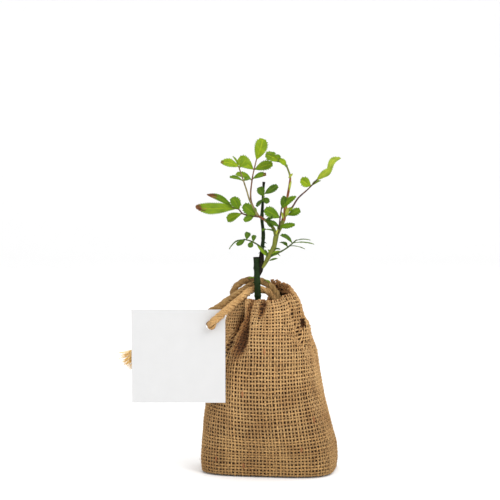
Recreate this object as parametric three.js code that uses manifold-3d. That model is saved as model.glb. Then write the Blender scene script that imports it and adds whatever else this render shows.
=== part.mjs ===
// A young rose plant on its root ball, stood in a gathered burlap bag that is tied with jute cord.
// Units are millimetres, +Z is up, and +X is to the right of someone who faces along +Y.
// The origin is the centre of the bag's flat underside.
import * as THREE from "three";
import { mergeVertices } from "three/addons/utils/BufferGeometryUtils.js";
import Module from "manifold-3d";

const wasm = await Module();
wasm.setup();

// ---------------------------------------------------------------- driving dimensions

const GAP = 0.3; // clearance between pieces that touch

// The bag: its outline at a few heights, as half widths, half depths and the centre's shift.
const BAG_TURN = THREE.MathUtils.degToRad(-9);
const BAG_OUTLINE = [
  { z: 0, halfWidth: 48.6, halfDepth: 34, shift: 0.8, corner: 3 },
  { z: 1.5, halfWidth: 50.2, halfDepth: 35.7, shift: 0.8, corner: 3 },
  { z: 7, halfWidth: 50.7, halfDepth: 36.4, shift: 0.8, corner: 3 },
  { z: 20, halfWidth: 50.2, halfDepth: 36.6, shift: 0.4, corner: 2.9 },
  { z: 38, halfWidth: 47.1, halfDepth: 36.4, shift: -1, corner: 2.75 },
  { z: 56, halfWidth: 43.9, halfDepth: 35.2, shift: -2, corner: 2.65 },
  { z: 74, halfWidth: 41.8, halfDepth: 33.1, shift: -3, corner: 2.6 },
  { z: 90, halfWidth: 39.5, halfDepth: 30, shift: -2.6, corner: 2.5 },
  { z: 102, halfWidth: 36, halfDepth: 26, shift: -2.8, corner: 2.3 },
  { z: 113, halfWidth: 33, halfDepth: 21.5, shift: -2.4, corner: 2.1 },
  { z: 122, halfWidth: 30.2, halfDepth: 18.6, shift: -2.2, corner: 2 },
  { z: 131, halfWidth: 28.8, halfDepth: 18, shift: -2.2, corner: 2 },
  { z: 145, halfWidth: 27.4, halfDepth: 17, shift: -2.2, corner: 2 },
];
const BAG_GIRTH = 300; // the cloth's length round the bag; its slack goes into the pleats
const PLEATS = 12;
const FIRST_PLEAT = -115; // degrees round the bag, from +X
const PLEAT_SHIFTS = { 0: 0, 1: -7, 2: 2, 5: 6, 9: -5 }; // degrees off the even spacing
const PLEAT_WIDTH = 0.36; // of the spacing between two pleats
const PLEAT_LEAN = 0.16; // degrees that a pleat drifts for each millimetre down
const PLEAT_START = 74; // height at which pleats begin
const PLEAT_FULL = 118; // height at which they are deepest
const CLOTH = 1.8; // thickness of the coarse cloth
const RIM_FRONT = 129.5; // height of the mouth's front edge
const RIM_RISE = 12.5; // how far the gathered edge stands up at the back right
const RIM_RISE_SPAN = [-52, 50]; // degrees from +X over which it rises
const RIM_LEAN_SPAN = [-76, -16]; // degrees from +X over which it starts to lean in
const RIM_FALL_SPAN = [72, 102]; // degrees from +X over which both end again
const RIM_LEAN = 0.24; // share of its radius that the standing edge leans in by
const RIM_MID = 0.45; // the ring half way up the standing edge
const RIM_DIP = 2; // the outer wall half way up the rim lies this much lower
const BAG_SIDES = 84;
const BAG_LEVELS = [0, 1.5, 7, 20, 38, 56, 74, 88, 98, 106, 113, 119, 125];
const BAG_INNER_LEVELS = [119, 110, 100, 88, 66, 38, 14];

const SOIL_LEVEL = 88;
const SOIL_CLEAR = 1; // between the root ball and the cloth
const LOW_SLACK = 0.5; // the cloth is this much thicker round the root ball
const FLOOR_EASE = 2; // the inside's foot is drawn in by this much
const FLOOR_TOP = CLOTH + 0.6; // height of the cloth's inner floor

// The jute cord and the card that hangs on it.
const CORD_RADIUS = 2.7;
const CARD_SIZE = 68.6;
const CARD_THICK = 0.9;
const CARD_FRONT = -31; // how far forward the card hangs, just clear of the bag
const CARD_CENTRE = new THREE.Vector3(-66, CARD_FRONT, 89.2);
const EYELET = new THREE.Vector3(-42.6, CARD_FRONT, 112);
const EYELET_RADIUS = 3.4;
const FRAY_STRANDS = 7;
const FRAY_LENGTH = 13;
const FRAY_FAN = [-0.85, 0.7]; // how far down and up the strands spread
const KNOT_SIZE = [5, 3.6, 4.6]; // half sizes of the knot behind the card

const LEAF_THICK = 0.55;
const STALK_RADIUS = 0.62;

// ---------------------------------------------------------------- colours

const FINISH = {
  burlap: { color: 0xb08a58, roughness: 0.95, metalness: 0 },
  soil: { color: 0x3d2a1c, roughness: 1, metalness: 0 },
  oldWood: { color: 0x1f3a20, roughness: 0.7, metalness: 0 },
  newWood: { color: 0x8a9a3c, roughness: 0.6, metalness: 0 },
  leaf: { color: 0x6fa832, roughness: 0.55, metalness: 0 },
  jute: { color: 0xc89b5f, roughness: 0.9, metalness: 0 },
  card: { color: 0xefefef, roughness: 0.8, metalness: 0 },
};

// ---------------------------------------------------------------- small tools

const vec = (x, y, z) => new THREE.Vector3(x, y, z);
const clamp01 = (t) => Math.min(1, Math.max(0, t));
const smooth = (t) => clamp01(t) ** 2 * (3 - 2 * clamp01(t));
const mix = (a, b, t) => a + (b - a) * t;

// A repeatable stream of numbers from 0 to 1.
function seeded(seed) {
  let state = seed >>> 0;
  return () => {
    state = (Math.imul(state, 1664525) + 1013904223) >>> 0;
    return state / 4294967296;
  };
}

// A closed body through rings of equal count, with each end drawn to a point.
function loft(rings, startPoint, endPoint) {
  const sides = rings[0].length;
  const centre = (ring) =>
    ring.reduce((sum, p) => sum.add(p), vec(0, 0, 0)).divideScalar(sides);
  const points = rings.flat();
  const first = points.length;
  points.push(startPoint ?? centre(rings[0]));
  points.push(endPoint ?? centre(rings.at(-1)));
  const faces = [];
  for (let i = 0; i < sides; i++) {
    const j = (i + 1) % sides;
    faces.push(first, j, i);
    for (let k = 0; k + 1 < rings.length; k++) {
      const low = k * sides;
      const high = low + sides;
      faces.push(low + i, low + j, high + j);
      faces.push(low + i, high + j, high + i);
    }
    const last = (rings.length - 1) * sides;
    faces.push(first + 1, last + i, last + j);
  }
  const geometry = new THREE.BufferGeometry().setFromPoints(points);
  geometry.setIndex(faces);
  return geometry;
}

// A closed geometry as a solid that can be joined and cut.
function solid(geometry) {
  const bare = geometry.clone();
  bare.deleteAttribute("normal");
  bare.deleteAttribute("uv");
  const merged = mergeVertices(bare, 1e-3);
  return new wasm.Manifold(
    new wasm.Mesh({
      numProp: 3,
      vertProperties: new Float32Array(merged.attributes.position.array),
      triVerts: new Uint32Array(merged.index.array),
    }),
  );
}

function geometryOf(body) {
  const mesh = body.getMesh();
  const geometry = new THREE.BufferGeometry();
  const position = new THREE.BufferAttribute(mesh.vertProperties, 3);
  geometry.setAttribute("position", position);
  geometry.setIndex(new THREE.BufferAttribute(mesh.triVerts, 1));
  geometry.computeVertexNormals();
  return geometry;
}

const fuse = (bodies) => bodies.reduce((sum, body) => sum.add(body));

// A body with the space of others cut away, less the scraps that the cuts leave.
function clearOf(body, others) {
  const cut = others.reduce((rest, other) => rest.subtract(other), body);
  const pieces = cut.decompose();
  return pieces.sort((a, b) => b.volume() - a.volume())[0];
}

// ---------------------------------------------------------------- limbs, cords and stalks

// A tapering round limb through guide points, with radii spread evenly along it.
function limb({ path, radii, sides = 7, step = 6 }, grow = 0) {
  const curve = new THREE.CatmullRomCurve3(path, false, "centripetal");
  const steps = Math.max(3, Math.round(curve.getLength() / step));
  const frames = curve.computeFrenetFrames(steps, false);
  const rings = [];
  for (let k = 0; k <= steps; k++) {
    const t = k / steps;
    const along = t * (radii.length - 1);
    const lower = Math.min(Math.floor(along), radii.length - 2);
    const radius = mix(radii[lower], radii[lower + 1], along - lower) + grow;
    const end = k === 0 ? -grow : k === steps ? grow : 0;
    const at = curve.getPointAt(t).addScaledVector(frames.tangents[k], end);
    rings.push(
      Array.from({ length: sides }, (_, i) => {
        const angle = (2 * Math.PI * i) / sides;
        return at
          .clone()
          .addScaledVector(frames.normals[k], radius * Math.cos(angle))
          .addScaledVector(frames.binormals[k], radius * Math.sin(angle));
      }),
    );
  }
  return solid(loft(rings));
}

const LIMBS = {
  main_stem: {
    path: [
      vec(-8.1, 0, SOIL_LEVEL + GAP),
      vec(-8.2, 0, 112),
      vec(-8.5, 0, 130),
      vec(-8.9, 0, 160.2),
    ],
    radii: [4.2, 2.8, 2.5, 2.4, 2.3, 2.2],
    sides: 10,
  },
  upright_cane: {
    path: [
      vec(-6.4, 0.9, 150.5),
      vec(-5.2, 1.5, 163.2),
      vec(-4, 1.5, 176.8),
      vec(-5, 2, 188.5),
      vec(-4.5, 2, 199.5),
      vec(-3.6, 2, 216.3),
    ],
    radii: [2.1, 1.7, 1.5, 1.35, 1.2, 1, 0.8],
  },
  new_shoot: {
    path: [vec(-4.2, -1.2, 152.6), vec(0.3, -3, 161.4), vec(3.7, -3.5, 167.1), vec(5.5, -3, 175.8)],
    radii: [1.3, 1.9, 1.7, 1.9],
  },
  side_shoot: {
    path: [vec(5.1, -3, 176.9), vec(3.9, -3, 181.2), vec(-1.4, -2.8, 187.1), vec(-8.4, -5.6, 191.4)],
    radii: [1.3, 1.2, 1, 0.95],
    step: 4,
  },
  shoot_top: {
    path: [
      vec(6.3, -2.8, 177.2),
      vec(11, -1, 187.9),
      vec(13, 1, 199.6),
      vec(15.7, 3, 214.3),
      vec(16.1, 4, 220.2),
      vec(13.4, 3.6, 228.2),
    ],
    radii: [1.5, 1.5, 1.2, 0.9, 0.7, 0.6],
  },
};

const CORDS = {
  tie_loop: {
    path: [
      vec(-26.6, 6.5, 127),
      vec(-25.6, 7.5, 135.6),
      vec(-19.5, 9.5, 141),
      vec(-11.5, 11, 142.4),
      vec(-4, 10.6, 141.4),
      vec(0.4, 8.6, 138),
      vec(3, 6.4, 132),
      vec(4.2, 5, 124),
    ],
    radii: [CORD_RADIUS, CORD_RADIUS],
    sides: 8,
  },
  tie_front_leg: {
    path: [
      vec(-7.6, 6.2, 137.4),
      vec(-12.5, 3, 136.8),
      vec(-18, -6, 132.8),
      vec(-27.5, -22, 125.4),
      vec(-35, CARD_FRONT - 4.4, 119.2),
      vec(-40.8, CARD_FRONT - 7.2, 113.8),
      vec(EYELET.x, CARD_FRONT - 5.2, EYELET.z),
      vec(EYELET.x, CARD_FRONT + 5.5, EYELET.z),
    ],
    radii: [CORD_RADIUS, CORD_RADIUS, CORD_RADIUS, CORD_RADIUS, CORD_RADIUS, 2.6, 2.5],
    sides: 8,
    step: 5,
  },
  tie_back_leg: {
    path: [vec(-13, 9.2, 134.4), vec(-22, 1.6, 131), vec(-43.5, -22.5, 123), vec(-103.4, -26, 87)],
    radii: [2.3, 2.5, 2.5, 2.4],
    sides: 8,
    step: 8,
  },
};

// ---------------------------------------------------------------- leaves

// Half widths of a rose leaflet along its length: a short stalk, widest past the middle, with a blunt end.
const LEAFLET_OUTLINE = [
  [0, 0.14],
  [0.22, 0.52],
  [0.58, 1],
  [0.86, 0.8],
];

// One leaflet from its joint to its tip. turn is 0 for a blade that faces -Y and 90 for one that faces up.
function leafletBody(joint, { reach, width, turn = 25, arch = 0.07 }, grow = 0) {
  const length = reach.length();
  const along = reach.clone().normalize();
  const tilt = THREE.MathUtils.degToRad(turn);
  const face = vec(0, -Math.cos(tilt), Math.sin(tilt));
  face.addScaledVector(along, -face.dot(along)).normalize();
  const across = vec(0, 0, 0).crossVectors(along, face);
  const midline = (t) =>
    joint
      .clone()
      .addScaledVector(along, length * t)
      .addScaledVector(face, arch * length * Math.sin(Math.PI * t));
  const half = LEAF_THICK / 2 + grow;
  const rings = LEAFLET_OUTLINE.map(([t, share]) => {
    const centre = midline(t);
    const side = (share * width) / 2 + grow;
    const fold = 0.16 * side;
    const edge = (s) => centre.clone().addScaledVector(across, s).addScaledVector(face, fold);
    return [
      edge(-side),
      centre.clone().addScaledVector(face, half),
      edge(side),
      centre.clone().addScaledVector(face, -half),
    ];
  });
  const start = midline(0).addScaledVector(along, -grow - 0.1);
  return solid(loft(rings, start, midline(1).addScaledVector(along, grow)));
}

// A compound leaf: a stalk with its leaflets fused to it, each joined part of the way along.
function compoundLeaf({ stalk, leaflets, radius = STALK_RADIUS }, grow = 0) {
  const curve = new THREE.CatmullRomCurve3(stalk, false, "centripetal");
  const radii = [radius * 1.25, radius, radius * 0.8];
  const bodies = [limb({ path: stalk, radii, sides: 5, step: 4 }, grow)];
  for (const leaflet of leaflets) {
    bodies.push(leafletBody(curve.getPointAt(leaflet.at), leaflet, grow));
  }
  return fuse(bodies);
}

const leaflet = (at, dx, dy, dz, width, turn, arch) => ({
  at,
  reach: vec(dx, dy, dz),
  width,
  turn,
  arch,
});

const LEAVES = {
  leaf_top: {
    stalk: [
      vec(-8.3, -5.2, 191.6),
      vec(-13.2, 3, 202.9),
      vec(-12.2, 9, 218.8),
      vec(-9.3, 13, 232.2),
    ],
    leaflets: [
      leaflet(0.68, 10.2, -4, 3.4, 6.6, 50),
      leaflet(0.66, -12.2, 5, 4.6, 6.4, 50),
      leaflet(0.85, 13.8, -4, 4.6, 7.2, 8),
      leaflet(0.84, -10.8, 5, 8.6, 8, 5),
      leaflet(1, 5, 2, 16.4, 9.8, 5, 0.05),
    ],
  },
  leaf_upper_left: {
    stalk: [
      vec(-7.9, -6.2, 191.2),
      vec(-13.8, -9.4, 202.3),
      vec(-16.3, -11.4, 210.4),
      vec(-21.9, -15, 227.4),
    ],
    leaflets: [
      leaflet(0.72, -9.8, -4, 3.2, 4.6, 50),
      leaflet(0.72, 4.4, 4.5, 2.6, 4.2, 40),
      leaflet(0.99, -13, -3, 3.8, 6.6, 20),
      leaflet(0.97, 5.6, 4, 7.6, 6.6, 10),
      leaflet(0.99, -4.6, 5, 8, 3.2, 82),
    ],
  },
  leaf_left: {
    stalk: [
      vec(-8, -5.6, 190.8),
      vec(-13.4, -8, 191.4),
      vec(-19.2, -10, 192.9),
      vec(-22.4, -11.5, 196.4),
      vec(-27, -13, 197.6),
    ],
    leaflets: [
      leaflet(0.02, -10.6, -3.4, 8.6, 8, 12),
      leaflet(0.12, -7.6, -5, -3.8, 5, 25),
      leaflet(0.55, -11.4, 4.5, -5, 6.6, 15),
      leaflet(0.76, -5, -5.5, 9, 7.8, 10),
      leaflet(0.96, -20, 8, 10, 5, 25),
      leaflet(1, -26.6, -8, -0.6, 8.8, 25, 0.08),
    ],
  },
  leaf_lower_left: {
    stalk: [
      vec(-0.2, -3.2, 160),
      vec(-5, -6.4, 167.3),
      vec(-12, -8, 172),
      vec(-18.1, -11, 174),
    ],
    leaflets: [
      leaflet(0.68, 1, 3.4, 5.2, 3.6, 10),
      leaflet(0.72, -1.8, -3.6, -4.2, 4.2, 20),
      leaflet(0.93, 1.4, 3, 5.6, 4.6, 10),
      leaflet(0.97, -6.4, -3.6, -4, 3.8, 20),
      leaflet(1, -11.6, 4, -7, 4.6, 76, 0.11),
    ],
  },
  leaf_lower_right: {
    stalk: [
      vec(0.8, -3.2, 160.9),
      vec(7.5, -6.4, 163.8),
      vec(13.5, -8.6, 167.4),
      vec(20.5, -12, 173.4),
    ],
    leaflets: [
      leaflet(0.66, -5.8, 4.4, 3.4, 4.4, 74, 0.12),
      leaflet(0.74, 11.4, 7, -3.2, 5, 84),
      leaflet(0.84, -8.8, 2, 6.4, 5.4, 66, 0.12),
      leaflet(0.88, 15, -7, -0.6, 5.4, 84),
      leaflet(0.98, 10.6, 5, 0.6, 5.2, 84),
    ],
  },
  leaf_right: {
    stalk: [
      vec(12.7, 0.4, 192.4),
      vec(17.8, 3, 197.6),
      vec(22, 7, 203.8),
      vec(30.5, 14, 211.4),
      vec(37.3, 18, 218.6),
    ],
    leaflets: [
      leaflet(0.76, -7.6, -5, 7.4, 6.8, 18),
      leaflet(0.78, 7, 6, 4.4, 4.6, 76),
      leaflet(0.96, 11.6, -6, 11, 6.6, 25),
      leaflet(1, 17.2, 5, 16.2, 5.8, 30, 0.08),
    ],
  },
  leaf_middle: {
    stalk: [
      vec(6.7, -3.4, 178.4),
      vec(7.9, -6.6, 183.5),
      vec(8.6, -7.4, 190.2),
      vec(9.6, -8, 197.1),
    ],
    leaflets: [
      leaflet(0.3, -6.8, -4, 3.6, 4, 30),
      leaflet(0.34, 11.2, -5, 2.6, 4.8, 20),
      leaflet(0.64, -11.4, -4, 6.6, 8, 12),
      leaflet(0.7, 14.4, -7, 5, 6.8, 15),
      leaflet(1, 2.4, -4, 9, 4.4, 20),
      leaflet(0.97, 11, -7, 9.6, 5, 25, 0.1),
    ],
  },
  leaf_cane: {
    stalk: [vec(-4.4, 1.4, 202.6), vec(-3.8, -2, 204.8), vec(-3.4, -3, 207.2)],
    leaflets: [
      leaflet(0.5, 3.6, -3, -4, 4.8, 10),
      leaflet(0.3, -4.8, -3.4, -5.4, 3.2, 30),
      leaflet(0.9, -3.6, -2, 5.6, 4.8, 15),
      leaflet(1, 9.8, -4, 6.4, 5.4, 15),
    ],
  },
  leaf_inner: {
    stalk: [vec(-2.4, -3.4, 187.9), vec(-2.4, -6.8, 188.4), vec(-2, -8.4, 188.3)],
    leaflets: [
      leaflet(0.8, 5.4, -1.6, -4.8, 5, 12),
      leaflet(1, 5, -4, 1.6, 3.6, 40),
    ],
  },
  leaf_fork: {
    stalk: [vec(3.8, -3.4, 180.2), vec(0.8, -6.4, 181), vec(-1, -7.2, 181.2)],
    leaflets: [
      leaflet(1, -4, -1, -0.8, 3.2, 60, 0.12),
    ],
  },
  furled_tip: {
    stalk: [
      vec(13.6, 3.6, 227.9),
      vec(8.3, 2, 232.4),
      vec(2.6, 0, 236.2),
      vec(-1.4, -1, 237.4),
    ],
    leaflets: [
      leaflet(0.1, -5.4, -3, 5, 3.6, 20),
      leaflet(0.32, -7.6, 3, 3.6, 4, 18),
      leaflet(0.48, -7.2, -3, 2.6, 4.4, 18),
      leaflet(0.7, -6.6, -2, 2.6, 4.4, 10),
      leaflet(0.8, -4.4, 3, -1.6, 3.4, 30),
    ],
  },
};

// ---------------------------------------------------------------- the bag and the root ball

// One column of the outline at a height, eased between the rows above and below.
function outlineAt(z) {
  const upper = Math.max(1, BAG_OUTLINE.findIndex((row) => row.z >= z));
  const [a, b] = [BAG_OUTLINE[upper - 1], BAG_OUTLINE[upper]];
  const t = clamp01((z - a.z) / (b.z - a.z));
  const column = (name) => mix(a[name], b[name], t);
  return {
    halfWidth: column("halfWidth"),
    halfDepth: column("halfDepth"),
    shift: column("shift"),
    corner: column("corner"),
  };
}

// Distance from the bag's middle to its smooth outline, in a direction.
function smoothRadius(z, angle) {
  const { halfWidth, halfDepth, corner } = outlineAt(z);
  const x = Math.abs(Math.cos(angle)) / halfWidth;
  const y = Math.abs(Math.sin(angle)) / halfDepth;
  return (x ** corner + y ** corner) ** (-1 / corner);
}

function smoothGirth(z) {
  const count = 72;
  const corner = (i) => {
    const angle = (2 * Math.PI * i) / count;
    const r = smoothRadius(z, angle);
    return vec(r * Math.cos(angle), r * Math.sin(angle), 0);
  };
  let girth = 0;
  for (let i = 0; i < count; i++) girth += corner(i).distanceTo(corner(i + 1));
  return girth;
}

// How deep the pleats fold in at a height: the slack shared among their flanks.
function pleatDepth(z) {
  const slack = Math.max(0, BAG_GIRTH - smoothGirth(z));
  const started = smooth((z - PLEAT_START) / (PLEAT_FULL - PLEAT_START));
  return ((slack / (2 * PLEATS)) * (0.25 + 0.75 * started)) * smooth(z / PLEAT_START);
}

const pleatAngles = Array.from({ length: PLEATS }, (_, i) =>
  FIRST_PLEAT + (360 / PLEATS) * i + (PLEAT_SHIFTS[i] ?? 0));

function pleatIn(z, degrees, depth) {
  const width = (PLEAT_WIDTH * 360) / PLEATS;
  return pleatAngles.reduce((sum, centre, i) => {
    const lean = PLEAT_LEAN * (PLEAT_FULL - z) * (i % 2 ? 0.4 : -1);
    const off = ((((degrees - centre - lean) % 360) + 540) % 360) - 180;
    return sum + depth * Math.exp(-((off / width) ** 2));
  }, 0);
}

// The ring of the bag's wall at a height, moved inwards by inset. heightAt and leanAt give each point's own
// height and how much nearer the middle it leans.
function bagRing(z, inset, heightAt = () => z, leanAt = () => 0) {
  const depth = pleatDepth(z);
  const { shift } = outlineAt(z);
  return Array.from({ length: BAG_SIDES }, (_, i) => {
    const angle = (2 * Math.PI * i) / BAG_SIDES;
    const degrees = THREE.MathUtils.radToDeg(angle);
    const wall = smoothRadius(z, angle) - pleatIn(z, degrees, depth);
    const radius = wall * (1 - leanAt(degrees)) - inset;
    const x = radius * Math.cos(angle) + shift;
    const y = radius * Math.sin(angle);
    return vec(x, y, heightAt(degrees)).applyAxisAngle(vec(0, 0, 1), BAG_TURN);
  });
}

// A share that eases from 0 to 1 over a span of directions, and back to 0 over the span where the edge falls.
function rimShare(degrees, [from, to]) {
  const round = ((degrees + 540) % 360) - 180;
  const [fallFrom, fallTo] = RIM_FALL_SPAN;
  return smooth((round - from) / (to - from)) * (1 - smooth((round - fallFrom) / (fallTo - fallFrom)));
}

// How far the gathered edge stands up in a direction, and how far it leans in.
const rimRise = (degrees) => rimShare(degrees, RIM_RISE_SPAN);
const rimLean = (degrees) => rimShare(degrees, RIM_LEAN_SPAN);

function bagBody(grow = 0) {
  const outer = BAG_LEVELS.map((z) => bagRing(z, -grow));
  const slackAt = (z) => (z > 100 ? 0 : LOW_SLACK);
  const inner = BAG_INNER_LEVELS.map((z) => bagRing(z, CLOTH + slackAt(z) + grow));
  const edge = (inset, share, lean, lift) =>
    bagRing(
      RIM_FRONT,
      inset,
      (d) => RIM_FRONT + RIM_RISE * share * rimRise(d) + lift,
      (d) => lean * rimLean(d),
    );
  const outerMid = edge(-grow, RIM_MID, RIM_LEAN * 0.2, -RIM_DIP);
  const outerTop = edge(-grow, 1, RIM_LEAN, grow);
  const innerTop = edge(CLOTH + grow, 1, RIM_LEAN, grow);
  const innerMid = edge(CLOTH + grow, RIM_MID, RIM_LEAN * 0.2, -RIM_DIP);
  const floor = bagRing(7, CLOTH + FLOOR_EASE + grow, () => FLOOR_TOP - grow);
  return solid(loft([...outer, outerMid, outerTop, innerTop, innerMid, ...inner, floor]));
}

function rootBall() {
  const levels = [14, 38, 66, SOIL_LEVEL];
  const foot = bagRing(7, CLOTH + FLOOR_EASE + SOIL_CLEAR, () => FLOOR_TOP + GAP);
  const sides = levels.map((z) => bagRing(z, CLOTH + LOW_SLACK + SOIL_CLEAR));
  return solid(loft([foot, ...sides]));
}

// ---------------------------------------------------------------- the card and the frayed end

function hangCard(grow = 0) {
  const side = CARD_SIZE + 2 * grow;
  const card = new THREE.BoxGeometry(side, CARD_THICK + 2 * grow, side);
  card.translate(CARD_CENTRE.x, CARD_CENTRE.y, CARD_CENTRE.z);
  const radius = EYELET_RADIUS - grow;
  const hole = new THREE.CylinderGeometry(radius, radius, CARD_THICK * 4, 16);
  hole.translate(EYELET.x, EYELET.y, EYELET.z);
  return solid(card).subtract(solid(hole));
}

function stopperKnot() {
  const knot = new THREE.SphereGeometry(1, 12, 8);
  knot.scale(...KNOT_SIZE);
  knot.translate(EYELET.x, EYELET.y + CARD_THICK / 2 + GAP + KNOT_SIZE[1], EYELET.z);
  return solid(knot);
}

function frayedEnd() {
  const random = seeded(7);
  const legs = CORDS.tie_back_leg.path;
  const out = legs.at(-1).clone().sub(legs.at(-2)).normalize();
  const root = legs.at(-1).clone().addScaledVector(out, GAP);
  const bundleEnd = root.clone().addScaledVector(out, 2.5);
  const bundle = limb({ path: [root, bundleEnd], radii: [2.2, 1.6], sides: 8, step: 1 });
  const strands = [bundle];
  for (let i = 0; i < FRAY_STRANDS; i++) {
    const fan = mix(...FRAY_FAN, i / (FRAY_STRANDS - 1));
    const way = vec(-1, 0.5 * (random() - 0.5), fan).normalize();
    const tip = root.clone().addScaledVector(way, FRAY_LENGTH * mix(0.8, 1, random()));
    const foot = root.clone().addScaledVector(out, 0.9);
    strands.push(limb({ path: [foot, tip], radii: [0.9, 0.35], sides: 5, step: 5 }));
  }
  return fuse(strands);
}

// ---------------------------------------------------------------- assembly

const plant = new THREE.Group();

function add(name, body, finish) {
  const mesh = new THREE.Mesh(geometryOf(body), new THREE.MeshStandardMaterial(FINISH[finish]));
  mesh.name = name;
  plant.add(mesh);
}

const bagSpace = bagBody(GAP);
add("burlap_bag", bagBody(), "burlap");
add("root_ball", rootBall(), "soil");

// Limbs and cords keep clear of the bag and of those made before them.
const taken = [bagSpace];
function addLimbs(limbs, finishOf) {
  for (const [name, spec] of Object.entries(limbs)) {
    add(name, clearOf(limb(spec), taken), finishOf(name));
    taken.push(limb(spec, GAP));
  }
}
addLimbs(LIMBS, (name) => (["main_stem", "upright_cane"].includes(name) ? "oldWood" : "newWood"));

CORDS.tie_front_leg.knot = stopperKnot();
taken.push(hangCard(GAP));
for (const [name, spec] of Object.entries(CORDS)) {
  const cord = spec.knot ? limb(spec).add(spec.knot) : limb(spec);
  add(name, clearOf(cord, taken), "jute");
  taken.push(limb(spec, GAP));
}
add("tie_frayed_end", frayedEnd(), "jute");
add("hang_card", hangCard(), "card");

// Each leaf keeps clear of the limbs and of the leaves made before it.
for (const [name, spec] of Object.entries(LEAVES)) {
  add(name, clearOf(compoundLeaf(spec), taken), "leaf");
  taken.push(compoundLeaf(spec, GAP));
}

export default plant;
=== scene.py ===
"""Rose sapling on its root ball, in a gathered burlap bag tied with jute cord: how every surface looks."""
import math

import bpy
import numpy as np
from bpy.props import FloatProperty, FloatVectorProperty, IntProperty, PointerProperty
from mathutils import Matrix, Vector


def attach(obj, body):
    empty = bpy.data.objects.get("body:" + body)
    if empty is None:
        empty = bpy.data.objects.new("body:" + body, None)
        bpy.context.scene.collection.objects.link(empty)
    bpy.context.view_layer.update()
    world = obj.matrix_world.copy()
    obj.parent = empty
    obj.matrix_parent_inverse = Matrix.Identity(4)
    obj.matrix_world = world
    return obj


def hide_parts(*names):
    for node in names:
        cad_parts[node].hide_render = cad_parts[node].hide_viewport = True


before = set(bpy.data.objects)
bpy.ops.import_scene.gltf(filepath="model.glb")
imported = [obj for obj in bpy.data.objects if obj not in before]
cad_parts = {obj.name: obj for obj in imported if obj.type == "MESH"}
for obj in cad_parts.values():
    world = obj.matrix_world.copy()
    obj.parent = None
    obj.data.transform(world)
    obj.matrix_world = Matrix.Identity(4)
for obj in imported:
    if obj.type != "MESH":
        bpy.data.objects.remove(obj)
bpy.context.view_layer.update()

bl_info = {
    "name": "Rose sapling in burlap",
    "version": (1, 0, 0),
    "blender": (4, 5, 0),
    "location": "3D View > Sidebar > Sapling",
    "description": "Dresses the rose sapling: woven bag, jute cord, card, soil, stems and leaves",
    "category": "Object",
}

MM = 0.001
TAU = 2 * math.pi
# How far the floor lies under the part, and loose fibres stay above it, in metres.
FLOOR_CLEAR = 0.0002

# ---------------------------------------------------------------- the bag's rule, in millimetres

BAG_TURN = math.radians(-9)
# height, half width, half depth, shift of the middle, squareness of the corners
BAG_OUTLINE = np.array([
    (0, 49.2, 34.2, 0.8, 3.7),
    (1.2, 50, 35.7, 0.8, 3.7),
    (7, 50.2, 36.4, 0.8, 3.6),
    (20, 49.8, 36.6, 0.4, 3.3),
    (38, 47.5, 36.4, -1.4, 2.9),
    (56, 44.5, 35.2, -2.6, 2.65),
    (74, 41.8, 33.1, -3, 2.6),
    (90, 39.5, 30, -2.6, 2.5),
    (102, 36, 26, -2.8, 2.3),
    (113, 33, 21.5, -2.4, 2.1),
    (122, 30.2, 18.6, -2.2, 2),
    (131, 28.8, 18, -2.2, 2),
    (145, 27.4, 17, -2.2, 2),
])
BAG_GIRTH = 300
PLEATS = 12
FIRST_PLEAT = -115
PLEAT_SHIFTS = {0: 0, 1: -7, 2: 2, 5: 6, 9: -5}
PLEAT_WIDTH = 0.36
PLEAT_LEAN = 0.16
PLEAT_START = 74
PLEAT_FULL = 118
CLOTH = 1.8
RIM_FRONT = 129.5
RIM_RISE = 11.8
RIM_RISE_SPAN = (-80, 70)
RIM_DROP = 2
RIM_BACK_DROP = 3
RIM_LEAN_SPAN = (-76, -16)
RIM_FALL_SPAN = (72, 102)
RIM_LEAN = 0.24
RIM_MID = 0.45
RIM_LEAN_FROM = 125
SOIL_LEVEL = 88
SOIL_RINGS = 26
SOIL_SIDES = 96
CRUMBS = 900
SOIL_DARK = (0.012, 0.007, 0.004)
SOIL_LIGHT = (0.05, 0.026, 0.012)
# How much of its depth each pleat keeps where it isn't whole.
PLEAT_SHARES = {0: 0.3, 1: 0.12, 2: 0.16, 3: 0.45, 4: 0.6, 5: 0.4, 6: 0.3}
# Each pleat ends in a narrow slot for the rest of the slack: how wide, in degrees, and how deep a share.
SLOT_WIDTH = 3.2
SLOT_SHARES = {0: 0, 1: 0, 2: 0, 3: 0.25, 4: 0.3, 5: 0.2, 6: 0.2, 11: 0.7}

# Folds down the front of the bag: height, x, depth, and the widths of its left and right flanks.
FOLDS = [
    np.array([
        (80, -29, 0, 8, 8),
        (89, -25.5, 2.6, 8, 6.5),
        (95, -21.5, 5.4, 8, 4),
        (100, -18.4, 7.2, 8, 2),
        (107, -16.4, 7.6, 7.6, 1),
        (115, -15.4, 6.2, 5.6, 0.8),
        (121, -14.2, 4.6, 3.4, 0.8),
        (125.7, -12.8, 3.4, 2.2, 0.8),
        (129, -12.2, 2.4, 1.6, 1),
    ]),
    np.array([
        (112, -7.2, 0, 2, 2),
        (117.5, -6.4, 2.6, 1.8, 2.4),
        (122, -5.4, 5, 1.8, 2.8),
        (126, -4.4, 5.6, 1.8, 2.8),
        (130, -3.4, 5, 1.6, 2.4),
    ]),
]

# Creases in the front of the bag: x and z of both ends, how deep and how wide.
CREASES = [
    ((16, 105.4), (37, 88.9), 1.9, 2.4),
    ((10, 113), (22, 104), 1.2, 1.6),
    ((9, 126), (12, 112), 0.8, 1.6),
    ((-27, 96), (-33, 74), 1, 2.6),
]
# The slit in the casing where the cord comes out: x, z, half width, half height and depth; then its lip.
SLIT = (25.2, 111.2, 2.1, 4.2, 7)
LIP = (29.6, 110.8, 2.2, 6.5, 2)

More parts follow.
